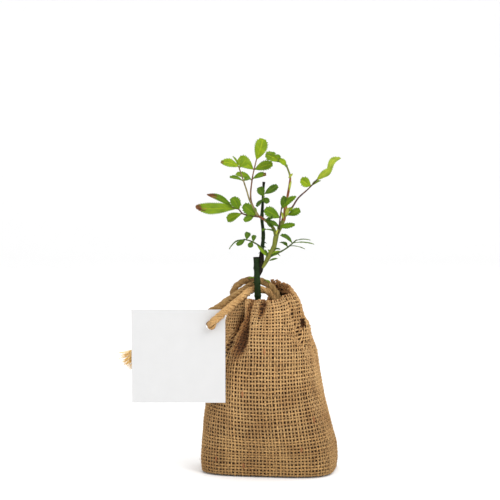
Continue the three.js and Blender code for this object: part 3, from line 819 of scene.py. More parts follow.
def wall_points(z, angle, extra=0):
    """Points of the bag's outer wall, where z runs past the front rim up to the standing edge.

    extra draws each pleat in further along its middle.
    """
    degrees = np.degrees(angle)
    level = np.minimum(z, RIM_FRONT)
    top = rim_top(degrees)
    share = np.clip((z - RIM_LEAN_FROM) / (top - RIM_LEAN_FROM), 0, 1)
    middle = (RIM_FRONT + RIM_MID * (top - RIM_FRONT) - 2 - RIM_LEAN_FROM) / (top - RIM_LEAN_FROM)
    low_lean = 0.2 * np.clip(share / middle, 0, 1)
    lean = low_lean + 0.8 * np.clip((share - middle) / (1 - middle), 0, 1)
    lean = RIM_LEAN * rim_share(degrees, RIM_LEAN_SPAN) * lean
    inwards = pleat_in(level, degrees, pleat_depth(level), shares=PLEAT_SHARES)
    inwards = inwards + pleat_in(level, degrees, extra, SLOT_WIDTH, SLOT_SHARES)
    radius = (smooth_radius(level, angle) - inwards) * (1 - lean)
    x = radius * np.cos(angle) + outline_at(level)[2]
    y = radius * np.sin(angle)
    turn = (math.cos(BAG_TURN), math.sin(BAG_TURN))
    return np.stack([x * turn[0] - y * turn[1], x * turn[1] + y * turn[0], z + 0 * x], axis=-1)


def row_height(row, angle):
    """The height of a weft row: even below, sagging in front, and spread up the rim."""
    pitch = RIM_ROWS_FROM / ROWS_BELOW
    z = row * pitch
    sag = 4.5 * smooth((z - 2) / 34) * (1 - smooth((z - 50) / 45)) * np.maximum(0, -np.sin(angle)) ** 2
    upper = RIM_ROWS_FROM + (row - ROWS_BELOW) / ROWS_RIM * (rim_top(np.degrees(angle)) - RIM_ROWS_FROM)
    return np.where(row <= ROWS_BELOW, z - sag, upper)


def bag_normals(points):
    """Directions out of the wall at each point of the grid."""
    around = np.roll(points, -3, axis=1) - np.roll(points, 3, axis=1)
    up = np.gradient(points, axis=0)
    return unit(np.cross(around, up))


class BagCloth:
    """The middle of the cloth as a grid: rows of weft up it, places of warp round it."""

    def __init__(self, warps, inset):
        self.warps = warps
        self.columns = warps * 12
        random = np.random.default_rng(11)
        angle = (np.linspace(0, TAU, 2401) + FRONT_ANGLE)[None]
        rows = np.linspace(0, ROWS, ROWS * SUB_ROWS + 1)[:, None]
        height = row_height(rows, angle)
        plain = wall_points(height, angle)
        girth = np.sum(np.linalg.norm(np.diff(plain, axis=1), axis=-1), axis=1)[:, None]
        slack = np.maximum(0, BAG_GIRTH - girth) / (2 * PLEATS)
        started = smooth((height - SLOT_START) / (SLOT_FULL - SLOT_START))
        rings = wall_points(height, angle, slack * SLOT_DEPTH * started)
        depth = self.folded(rings)[..., None]
        rings = np.concatenate([rings - bag_normals(rings) * depth, depth], axis=-1)
        points = np.stack([self.spaced(ring) for ring in rings])
        depth = points[..., 3:]
        points = points[..., :3]
        normals = bag_normals(points)
        points -= normals * inset
        points -= normals * self.relief(points, random)[..., None]
        slit = self.slit(points)
        points[..., 1] += slit
        points[..., 2] = np.maximum(points[..., 2], inset)
        hem_steps = HEM_ROWS * SUB_ROWS
        # How deep each point lies in the folds and the slit; it sets the painted shade of the threads and
        # how close the dark sheet behind comes.
        self.depths = np.pad(depth + slit[..., None], ((0, hem_steps), (0, 0), (0, 0)), mode="edge")
        points = self.with_hem(points)
        self.points = points
        self.normals = bag_normals(points)
        gap = np.linalg.norm(np.roll(points, -6, axis=1) - np.roll(points, 6, axis=1), axis=-1)
        self.gaps = np.clip(gap * warps / BAG_GIRTH, 0.4, 1)[..., None]

    def spaced(self, ring):
        """Points round a ring at even warps in front and behind, and closer ones at the sides."""
        run = np.concatenate([[0], np.cumsum(np.linalg.norm(np.diff(ring[:, :3], axis=0), axis=1))])
        share = np.arange(self.columns) / self.columns
        u = 1 - np.abs(1 - 2 * share)
        tight = 1 + TIGHT_SHARE * (min(1.8, BAG_GIRTH / run[-1]) - 1)
        half = tight * u - (tight - 1) * (u - np.sin(TAU * u) / TAU)
        at = np.where(share <= 0.5, half / 2, 1 - half / 2) * run[-1]
        return np.stack([np.interp(at, run, line) for line in ring.T], axis=-1)

    def with_hem(self, points):
        """Adds the hem: the cloth turned over its edge and down inside."""
        normals = bag_normals(points)
        hem = []
        for k in range(1, HEM_ROWS * SUB_ROWS + 1):
            turn = min(1.0, k / 5)
            inwards = HEM_GAP * (1 - math.cos(math.pi * turn)) / 2
            over = 0.55 * HEM_GAP * math.sin(math.pi * turn)
            low = points.shape[0] - 1 - max(0, k - 3)
            hem.append(points[low] - normals[low] * inwards + (0, 0, over))
        return np.concatenate([points, np.stack(hem)])

    def folded(self, points):
        """How far the deep folds draw the cloth in."""
        x, y, z = np.moveaxis(points, -1, 0)
        total = np.zeros_like(x)
        for fold in FOLDS:
            middle, depth, left, right = (np.interp(z, fold[:, 0], fold[:, k]) for k in range(1, 5))
            width = np.where(x < middle, left, right)
            total += depth * bell((x - middle) / width) * (z > fold[0, 0])
        return total * smooth((-y - 2) / 8)

    def relief(self, points, random):
        """How far creases and small wrinkles draw the cloth in."""
        x, y, z = np.moveaxis(points, -1, 0)
        total = np.zeros_like(x)
        front = smooth((-y - 2) / 8)
        for (x0, z0), (x1, z1), depth, width in CREASES:
            run, rise = x1 - x0, z1 - z0
            along = np.clip(((x - x0) * run + (z - z0) * rise) / (run**2 + rise**2), 0, 1)
            off = np.hypot(x - x0 - along * run, z - z0 - along * rise)
            total += depth * bell(off / width) * front
        lip = np.hypot((x - LIP[0]) / LIP[2], (z - LIP[1]) / LIP[3])
        total -= LIP[4] * bell(lip) * (y < 4)
        for _ in range(WRINKLES):
            wave = random.normal(0, 1, 3) / random.uniform(5, 16)
            wave[2] *= 0.5
            phase = random.uniform(0, TAU)
            total += 0.11 * np.sin(x * wave[0] + y * wave[1] + z * wave[2] + phase)
        return total * smooth(z / 12)

    def slit(self, points):
        """How far the slit sinks back."""
        x, y, z = np.moveaxis(points, -1, 0)
        away = np.hypot((x - SLIT[0]) / SLIT[2], (z - SLIT[1]) / SLIT[3])
        return SLIT[4] * np.exp(-away**4) * smooth((-y - 3) / 4)

    def at(self, row, share, which="points"):
        """Points, or normals, at rows and shares of the girth."""
        grid = getattr(self, which)
        r = np.clip(row * SUB_ROWS, 0, grid.shape[0] - 1.001)
        c = (share % 1) * self.columns
        r0 = r.astype(int)
        c0 = c.astype(int) % self.columns
        c1 = (c0 + 1) % self.columns
        fr = (r - r0)[..., None]
        fc = (c - np.floor(c))[..., None]
        low = grid[r0, c0] * (1 - fc) + grid[r0, c1] * fc
        high = grid[r0 + 1, c0] * (1 - fc) + grid[r0 + 1, c1] * fc
        return low * (1 - fr) + high * fr


# Thick reddish spots in the yarn, as x and z on the front. BEHIND keeps the search for them off the back.
SLUBS = [(-19.2, 61), (-18.4, 8), (33, 42), (-38.5, 12.5), (24, 21), (-3, 92)]

BEHIND = 99
SLUB_SIZE = 0.9
# The shortest and longest of the weave's loose fibres, and their thinnest and thickest half sizes.
FUZZ_LENGTHS = (1.2, 3.4)
FUZZ_SIZES = (0.04, 0.1)
WAVE_HEIGHT = 0.42
THREAD_THICK = 0.46
# The colour of the painted shade on the hem and the inside of the bag.
INSIDE_SHADE_TINT = 5
# Painted shade in the folds: from which depth, in millimetres, the threads take which darker colour.
FOLD_SHADE_TINTS = [(1.2, 3), (2.2, 6), (3.2, INSIDE_SHADE_TINT), (4.6, 7)]


def thread_tints(random, count):
    """Which of the thread colours each thread has."""
    return random.choice(4, count, p=[0.5, 0.24, 0.2, 0.06])


def lay_threads(shapes, cloth, row, place, lift, wide, tints):
    """Sweeps threads over the cloth's grid, split into two shapes."""
    out = cloth.at(row, place / cloth.warps, "normals")
    path = cloth.at(row, place / cloth.warps) + out * lift[..., None]
    depth = cloth.at(row, place / cloth.warps, "depths")[..., 0]
    # Painted shade: threads that lie deep in a fold or in the slit take darker colours.
    for deep, tint in FOLD_SHADE_TINTS:
        tints = np.where((depth > deep) & (row < ROWS), tint, tints)
    for part in np.array_split(np.arange(len(path)), 2):
        shape = Shape()
        sweep(shape, path[part] * MM, wide[part] * MM, THREAD_THICK * MM, 6, out[part], tints[part])
        shapes.append(shape)


def strayed(random, even, steps, stray, swell, half, ends=0):
    """Where each thread runs and how wide it is.

    even is each thread's own place, stray and swell the knots and size of its bends and of its changes in
    width, and ends how many steps at both ends stay straight.
    """
    lines = len(even)
    place = even + random.normal(0, 0.05, (lines, 1))
    place = place + np.pad(wanders(random, lines, steps - 2 * ends, *stray), ((0, 0), (ends, ends)))
    wide = half * random.uniform(0.88, 1.12, (lines, 1))
    return place, wide * (1 + wanders(random, lines, steps, *swell))


def bag_threads(settings):
    """The warp and weft of the bag, as four shapes."""
    random = np.random.default_rng(21)
    pitch = settings.pitch / MM
    warps = int(round(BAG_GIRTH / pitch / 2)) * 2
    cloth = BagCloth(warps, CLOTH / 2)
    half = settings.thread_width / MM
    shapes = []
    steps = ALL_ROWS * 4 + 1
    row = np.linspace(0, ALL_ROWS, steps)[None] + np.zeros((warps, 1))
    number = np.arange(warps)[:, None]
    place, wide = strayed(random, number, steps, (16, 0.06), (40, 0.09), half)
    lift = WAVE_HEIGHT * np.cos(math.pi * (row - 0.5 + number))
    wide = wide * cloth.at(row, place / warps, "gaps")[..., 0] ** 0.8
    # Painted shade: the warp's hem rows turned inside take the dark inside colour.
    tints = np.where(row > ROWS + 0.5, INSIDE_SHADE_TINT, thread_tints(random, warps)[:, None])
    lay_threads(shapes, cloth, row, place, lift, wide, tints)
    steps = warps * 4 + 1
    column = np.linspace(0, warps, steps)[None] + np.zeros((ALL_ROWS, 1))
    number = np.arange(ALL_ROWS)[:, None]
    row, wide = strayed(random, number + 0.5, steps, (40, 0.07), (90, 0.1), half, 4)
    lift = -WAVE_HEIGHT * np.cos(math.pi * (column + number))
    # Painted shade: the weft's hem rows turned inside take the dark inside colour.
    tints = np.where(number[:, 0] >= ROWS, INSIDE_SHADE_TINT, thread_tints(random, ALL_ROWS))[:, None]
    lay_threads(shapes, cloth, row, column, lift, wide, tints)
    return cloth, shapes


def base_threads(settings):
    """The flat weave under the bag."""
    random = np.random.default_rng(31)
    pitch = settings.pitch / MM
    shape = Shape()
    turn = np.array([[math.cos(BAG_TURN), math.sin(BAG_TURN)], [-math.sin(BAG_TURN), math.cos(BAG_TURN)]])
    corner = BAG_OUTLINE[0, 4]
    for axis, (reach, span) in enumerate([BASE_SIZE, BASE_SIZE[::-1]]):
        for number in range(int(-span / pitch) + 1, int(span / pitch)):
            offset = number * pitch
            end = reach * (1 - (abs(offset) / span) ** corner) ** (1 / corner) - 0.6
            along = np.arange(-end, end, pitch / 4)
            lift = (-1) ** axis * WAVE_HEIGHT * np.cos(math.pi * (along / pitch + number))
            flat = np.stack([along, np.full_like(along, offset)], axis=-1)
            if axis:
                flat = flat[:, ::-1]
            flat = flat @ turn + [BAG_OUTLINE[0, 3], 0]
            path = np.column_stack([flat, CLOTH / 2 + lift])
            up = np.broadcast_to([0.0, 0.0, 1.0], (1, len(path), 3))
            sweep(shape, path * MM, settings.thread_width, THREAD_THICK * MM, 6, up, random.integers(0, 4))
    return shape


def bag_materials(settings):
    """Eight colours of thread: straw tones and a red of the yarn itself, and three browns of painted shade
    for the inside and the folds; the darkest straw tone also paints the lightest fold shade.
    """
    shares = {
        "burlap_mid": (1, 1, 1),
        "burlap_light": (1.13, 1.13, 1.13),
        "burlap_dull": (0.92, 0.93, 0.96),
        # A darker yarn tone, which also paints the lightest shade in the folds.
        "burlap_dark_and_shade": (0.82, 0.78, 0.74),
        "burlap_red": (0.72, 0.5, 0.45),
        # Painted shade: browns for the hem and the inside, and for the folds.
        "burlap_inside_shade": (0.5, 0.37, 0.27),
        "burlap_shade": (0.66, 0.55, 0.44),
        "burlap_deep_shade": (0.26, 0.16, 0.1),
    }
    return [
        fibre_material(name, tuple(a * b for a, b in zip(settings.colour, share)), 0.3, 0.66)
        for name, share in shares.items()
    ]


# ---------------------------------------------------------------- cord

# Shares of the cord's radius: from its middle to a strand, and from a strand to its yarns.
STRAND_OUT = 0.36
YARN_OUT = 0.45
# Of the cord's hairs and of the fibres at its cut end: lengths and half sizes, from least to most. FRAY_DIP
# is how far down the fibres of the cut end point, in degrees.
HAIR_LENGTHS = (1.2, 4.2)
HAIR_SIZES = (0.035, 0.075)
FRAY_FIBRES = 96
FRAY_DIP = (8, 64)
FRAY_LENGTHS = (12.5, 16.4)
FRAY_SIZES = (0.15, 0.42)
JUTE_STRAW = (0.9, 0.64, 0.26)


def add_rope(shape, random, points, radii, lay, tint=0, strands=3, yarns=9):
    """Adds a laid cord: strands that turn round its middle, each made of yarns that turn back."""
    count = int(length_of(points) / 0.8) + 2
    path = curve_through(points, count)
    radius = stretched(radii, count)
    run = np.linspace(0, length_of(path), count)
    tangents, side, other = frame_along(path)
    swell = 1 + wander(random, count, max(4, count // 10), 0.05)
    for a in range(strands):
        turn = TAU * (a / strands + run / lay)
        for b in range(yarns):
            back = TAU * (b / yarns + run / (lay * 1.6)) + random.uniform(-0.3, 0.3)
            reach = radius * swell
            jitter = 1 + wander(random, count, count // 4 + 2, 0.1)
            u = reach * (STRAND_OUT * np.cos(turn) + YARN_OUT * jitter * np.cos(back))
            v = reach * (STRAND_OUT * np.sin(turn) + YARN_OUT * jitter * np.sin(back))
            yarn = path + side * u[:, None] + other * v[:, None]
            sweep(shape, yarn * MM, reach * random.uniform(0.16, 0.22) * MM, sides=5, tint=tint)
    feet_at = random.integers(1, count - 1, int(length_of(path) * 3.2))
    angle = random.uniform(0, TAU, len(feet_at))
    outward = side[feet_at] * np.cos(angle)[:, None] + other[feet_at] * np.sin(angle)[:, None]
    feet = path[feet_at] + outward * radius[feet_at][:, None] * 0.75
    ways = unit(outward * 0.55 + tangents[feet_at] * random.choice([-1, 1], len(feet_at))[:, None])
    lengths = random.uniform(*HAIR_LENGTHS, len(feet_at))
    width = random.uniform(*HAIR_SIZES, len(feet_at))
    add_hairs(shape, random, feet * MM, ways, lengths * MM, width * MM, tint=tint)


# ---------------------------------------------------------------- leaves

# Share of the length and of the half width: a blunt blade, and a slender one that tapers.
BLUNT_OUTLINE = np.array([
    (0, 0.07), (0.05, 0.1), (0.1, 0.24), (0.22, 0.52), (0.36, 0.76), (0.5, 0.94), (0.62, 1),
    (0.75, 0.98), (0.86, 0.84), (0.94, 0.6), (0.985, 0.3), (1, 0.08),
])
SLIM_OUTLINE = np.array([
    (0, 0.07), (0.05, 0.1), (0.1, 0.32), (0.2, 0.62), (0.34, 0.88), (0.48, 1), (0.62, 0.98),
    (0.76, 0.84), (0.87, 0.58), (0.95, 0.28), (0.985, 0.12), (1, 0.02),
])
STIPULES_FROM = 14
BLADE_COLUMNS = np.array([-1, -0.82, -0.6, -0.36, -0.14, 0, 0.14, 0.36, 0.6, 0.82, 1])


def blade_frame(reach, turn):
    """The direction along a blade, the one it faces and the one across it."""
    reach = np.asarray(reach, dtype=float)
    along = reach / np.linalg.norm(reach)
    tilt = math.radians(turn)
    face = np.array([0, -math.cos(tilt), math.sin(tilt)])
    face = face - along * np.dot(face, along)
    face = face / np.linalg.norm(face)
    return along, face, np.cross(along, face)


def add_blade(shape, random, foot, reach, width, turn, tint, arch, tooth, toothed=True, habit=PLAIN_HABIT):
    """Adds one leaflet: toothed edges, a folded rib, quilted veins and a paler back.

    habit is how far it bows sideways and where its dry tip starts, as shares of its length, and how blunt
    it is.
    """
    length = float(np.linalg.norm(reach))
    along, face, across = blade_frame(reach, turn)
    teeth = max(6, int(round(length / tooth * 0.9)))
    edges = np.linspace(0.08, 0.985, teeth + 1)
    step = edges[1] - edges[0]
    notches = np.stack([edges[:-1], edges[:-1] + step * 0.72], axis=1).ravel()
    t = np.concatenate([[0, 0.05], notches, [0.985, 1]])
    is_tip = np.zeros(len(t))
    if toothed:
        is_tip[2:-2] = np.tile([-1, 1], teeth)
    blunt = smooth((width / length - 0.28) / 0.16) if habit[2] is None else habit[2]
    half = blunt * np.interp(t, *BLUNT_OUTLINE.T) + (1 - blunt) * np.interp(t, *SLIM_OUTLINE.T)
    half = half * width / 2
    s = BLADE_COLUMNS[None]
    edge = np.abs(s) ** 6
    spread = half[:, None] * s * (1 + 0.12 * is_tip[:, None] * edge)
    forward = length * (t[:, None] + 0.35 * step * np.maximum(is_tip, 0)[:, None] * edge)
    fold = random.uniform(0.12, 0.34)
    rise = arch * length * np.sin(math.pi * t)[:, None]
    rise = rise + fold * half[:, None] * (np.sqrt(s * s + 0.01) - 0.1)
    veins = max(5, int(round(teeth * 0.45)))
    quilt = 0.05 * width * np.sin(TAU * veins * (t[:, None] - 0.22 * np.abs(s)))
    ripple = wander(random, len(t), 7, 0.035)[:, None] * width * s * s * np.sign(s)
    curl = random.uniform(-0.04, 0.08) * length * t[:, None] ** 3
    sway = random.uniform(-0.05, 0.05) * length * np.sin(math.pi * t)[:, None]
    sway = sway + habit[0] * length * np.sin(TAU * t)[:, None]
    rise = rise + quilt * (1 - s * s) * np.minimum(1, half[:, None] / (0.3 * width)) + ripple - curl
    top = (
        np.asarray(foot) + along * forward[..., None] + across * (spread + sway)[..., None]
        + face * rise[..., None]
    )
    back = top - face * (0.3 * (1 - edge))[..., None]
    rows, columns = top.shape[:2]
    quads = grid_quads(rows, columns)
    places = np.stack(np.broadcast_arrays(s * 0.5 + 0.5, t[:, None]), axis=-1)
    ragged = random.uniform(-0.07, 0.07, columns - 1)
    dry = (t[:-1, None] + 0.5 * step + ragged >= habit[1]).ravel()
    brown = DRY_TINT + (random.uniform(0, 1, len(dry)) < 0.3)
    shape.add(top * MM, quads[:, ::-1], np.where(dry, brown, list(LEAF_COLOURS).index(tint)), places)
    shape.add(back * MM, quads, np.where(dry, brown, len(LEAF_COLOURS)), places)


def add_compound_leaf(blades, stalks, random, name, tooth):
    """Adds a leaf: its stalk, the stipules at its foot and its leaflets."""
    skin, stalk, leaflets = LEAVES[name]
    count = max(8, int(length_of(stalk) / 0.9))
    path = curve_through(stalk, count)
    t = np.linspace(0, 1, count)
    radius = np.interp(t, [0, 0.06, 0.2, 1], [1.1, 0.95, 0.68, 0.46])
    radius = radius * (1 + wander(random, count, count // 2 + 2, 0.06))
    skin = list(STALK_SKINS).index(skin)
    sweep(stalks, path * MM, radius * MM, sides=10, tint=skin)
    for number, (at, reach, width, turn, tint, *arch) in enumerate(leaflets):
        foot = path[int(round(at * (count - 1)))]
        arch = arch[0] if arch else ARCH
        habit = HABITS.get((name, number), PLAIN_HABIT)
        add_blade(blades, random, foot, reach, width, turn, tint, arch, tooth, habit=habit)
        joint = foot + np.asarray(reach) * np.linspace(-0.01, 0.09, 5)[:, None]
        sweep(stalks, joint * MM, np.linspace(0.5, 0.36, 5) * MM, sides=8, tint=skin)
    if length_of(stalk) > STIPULES_FROM:
        out = path[min(6, count - 1)] - path[0]
        for side in (-1, 1):
            reach = out * 1.1 + np.array([side * 1.2, -0.6, 0.4])
            add_blade(blades, random, path[1], reach, 1.5, 30, leaflets[0][4], 0.05, tooth, False)


# ---------------------------------------------------------------- camera and lights

CAMERA_PLACE = (0, -1.1954, 0.2286)
CAMERA_TILT = 85
CAMERA_SHIFT = (-0.0372, 0.1104)
LENS = 115.2
SENSOR_WIDTH = 36
FLOOR_REACH = 6.0
LIGHT_AIM = (-0.01, 0, 0.12)
# name, place, side in metres and power in watts
LIGHTS = [
    ("key_light", (1.0, -1.4, 1.4), 1.1, 18),
    ("fill_light", (-1.3, -1.3, 0.9), 1.4, 4),
    ("top_light", (0.2, 0.5, 1.9), 1.2, 9),
]

# ---------------------------------------------------------------- operators


class SAPLING_OT_stage(bpy.types.Operator):
    """Lay the floor, light it and place the camera."""
    bl_idname = "sapling.stage"
    bl_label = "Stage"

    def execute(self, context):
        settings = context.scene.sapling_stage
        mesh = bpy.data.meshes.new("floor")
        bend = np.linspace(0, math.pi / 2, 24)
        y = np.concatenate([[-FLOOR_REACH], 2.6 + 1.2 * np.sin(bend), [3.8]])
        z = np.concatenate([[0], 1.2 - 1.2 * np.cos(bend), [5.0]])
        sides = (-FLOOR_REACH, FLOOR_REACH)
        verts = [(px, py, pz - FLOOR_CLEAR) for px in sides for py, pz in zip(y, z)]
        count = len(y)
        faces = [(i, i + count, i + count + 1, i + 1) for i in range(count - 1)]
        mesh.from_pydata(verts, [], faces)
        mesh.polygons.foreach_set("use_smooth", [True] * len(faces))
        nodes = Nodes("floor_paper")
        colour = tuple(settings.floor_colour)
        tone = nodes.ramp(nodes.noise(3, 2), [(0.3, shade(colour, 0.995)), (0.7, colour)])
        mesh.materials.append(nodes.finish(tone, 0.9, Specular_IOR_Level=0.1))
        floor = bpy.data.objects.new("floor", mesh)
        context.scene.collection.objects.link(floor)
        for light in LIGHTS:
            self.add_light(context, *light)
        world = bpy.data.worlds.new("studio")
        world.use_nodes = True
        background = world.node_tree.nodes["Background"]
        background.inputs["Color"].default_value = (1, 1, 1, 1)
        background.inputs["Strength"].default_value = settings.sky
        context.scene.world = world
        context.scene.view_settings.view_transform = "Standard"
        data = bpy.data.cameras.new("camera")
        data.lens = LENS
        data.sensor_width = SENSOR_WIDTH
        data.shift_x, data.shift_y = CAMERA_SHIFT
        camera = bpy.data.objects.new("camera", data)
        camera.location = CAMERA_PLACE
        camera.rotation_euler = (math.radians(CAMERA_TILT), 0, 0)
        context.scene.collection.objects.link(camera)
        context.scene.camera = camera
        return {"FINISHED"}

    def add_light(self, context, name, place, size, power):
        """Adds a soft square light that faces the plant."""
        data = bpy.data.lights.new(name, "AREA")
        data.size = size
        data.energy = power
        light = bpy.data.objects.new(name, data)
        light.location = place
        way = light.location - Vector(LIGHT_AIM)
        light.rotation_euler = way.to_track_quat("Z", "Y").to_euler()
        context.scene.collection.objects.link(light)


class SAPLING_OT_bag(bpy.types.Operator):
    """Weave the burlap bag thread by thread, with a dark sheet of painted shade behind the weave and loose
    fibres.
    """
    bl_idname = "sapling.bag"
    bl_label = "Burlap bag"

    def execute(self, context):
        settings = context.scene.sapling_bag
        materials = bag_materials(settings)
        cloth, shapes = bag_threads(settings)
        names = ["bag_warp_a", "bag_warp_b", "bag_weft_a", "bag_weft_b"]
        for name, shape in zip(names, shapes):
            shape.build(name, materials, "burlap", ["burlap_bag"])
        base_threads(settings).build("bag_base_weave", materials, "burlap", ["burlap_bag"])
        self.add_shade_backing(cloth)
        self.add_fuzz(cloth, settings, materials)
        return {"FINISHED"}

    def add_shade_backing(self, cloth):
        """Adds a dark sheet just behind the weave that shows through its holes: painted shade of the bag's
        inside, and below the soil the dark of the root ball.
        """
        rows = np.append(np.arange(0, SHADE_BACKING_TOP, 1.0), SHADE_BACKING_TOP)
        share = np.arange(SHADE_BACKING_COLUMNS) / SHADE_BACKING_COLUMNS
        row, at = np.meshgrid(rows, share, indexing="ij")
        behind = SHADE_BACKING_BEHIND * (1 - smooth(cloth.at(row, at, "depths") - 0.6))
        wall = cloth.at(row, at) - cloth.at(row, at, "normals") * behind
        foot = [wall[0] * (k, k, 0) + (0, 0, CLOTH - 0.1) for k in (0.01, 0.4, 0.8)]
        points = np.concatenate([np.stack(foot), wall])
        shape = Shape()
        shape.add(points * MM, grid_quads(len(points), SHADE_BACKING_COLUMNS, wrap=True)[:, ::-1])
        nodes = Nodes("bag_shade_backing")
        # Painted shade: near-black browns for the shaded inside of the bag.
        colour = nodes.ramp(nodes.noise(300, 5), [
            (0.35, (0.03, 0.011, 0.003)),
            (0.7, (0.085, 0.036, 0.01)),
        ])
        nodes.bump(nodes.noise(900, 4), 0.6, 0.0006)
        shape.build("bag_shade_backing", [nodes.finish(colour, 0.95)], "burlap", ["burlap_bag"])

    def add_fuzz(self, cloth, settings, materials):
        """Adds loose fibres that stand out of the weave, and a few thick slubs."""
        random = np.random.default_rng(41)
        count = settings.fuzz
        row = random.uniform(1, ROWS, count)
        at = random.uniform(0, 1, count)
        out = cloth.at(row, at, "normals")
        feet = cloth.at(row, at) + out * 0.6
        lean = unit(np.cross(out, random.normal(0, 1, (count, 3))))
        ways = unit(lean + out * random.uniform(0.05, 0.75, (count, 1)))
        lengths = random.uniform(*FUZZ_LENGTHS, count)
        width = random.uniform(*FUZZ_SIZES, count)
        shape = Shape()
        tints = random.integers(0, 4, count)
        add_hairs(shape, random, feet * MM, ways, lengths * MM, width * MM, 0.7, tints)
        front = cloth.points[:ROWS * SUB_ROWS]
        for x, z in SLUBS:
            near = np.hypot(front[..., 0] - x, front[..., 2] - z) + BEHIND * (front[..., 1] > 0)
            r, c = np.unravel_index(np.argmin(near), near.shape)
            run = cloth.points[max(0, r - 4):r + 5, c] + cloth.normals[r, c] * 0.5
            sweep(shape, run * MM, np.sin(np.linspace(0.1, 3, len(run))) * SLUB_SIZE * MM, sides=6, tint=4)
        shape.build("bag_fuzz", materials, "burlap", ["burlap_bag"])


class SAPLING_OT_soil(bpy.types.Operator):
    """Fill the bag's mouth with moist compost and its crumbs."""
    bl_idname = "sapling.soil"
    bl_label = "Compost"

    def execute(self, context):
        random = np.random.default_rng(51)
        material = soil_material("compost", SOIL_DARK, SOIL_LIGHT)
        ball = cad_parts["root_ball"]
        ball.data.materials.clear()
        ball.data.materials.append(material)
        rings, sides = SOIL_RINGS, SOIL_SIDES
        edge = wall_points(np.full(sides, float(SOIL_LEVEL)), round_angles(sides))[:, :2]
        middle = edge.mean(axis=0)
        share = np.linspace(0.003, 0.925, rings)[:, None, None]
        flat = middle + (edge - middle)[None] * share
        bumps = np.zeros(flat.shape[:2])
        for _ in range(40):
            wave = random.normal(0, 0.5, 2)
            bumps += 0.16 * np.sin(flat @ wave + random.uniform(0, TAU))
        out = share[..., 0]
        height = SOIL_LEVEL + 1.5 + bumps + 1.2 * (1 - out) - 3 * smooth((out - 0.8) / 0.12)
        shape = Shape()
        points = np.concatenate([flat, height[..., None]], axis=-1)
        shape.add(points * MM, grid_quads(rings, sides, wrap=True)[:, ::-1])
        count = CRUMBS
        ring = random.integers(1, rings - 2, count)
        spoke = random.integers(0, sides, count)
        steps = 5
        spot = points[ring, spoke][:, None]
        way = unit(random.normal(0, 1, (count, 3)) * (1, 1, 0.4))
        size = random.uniform(0.5, 1.9, (count, 1))
        t = np.linspace(-0.5, 0.5, steps)[None, :, None]
        paths = spot + way[:, None] * size[:, None] * t * random.uniform(1, 2.4, (count, 1, 1))
        paths[..., 2] += 0.3
        profile = np.array([0.2, 0.45, 0.5, 0.4, 0.15])[None]
        thick = size * profile * random.uniform(0.7, 1.1, (count, steps))
        sweep(shape, paths * MM, thick * MM, sides=5)
        shape.build("compost_top", [material], "compost", [], flat=True)
        return {"FINISHED"}


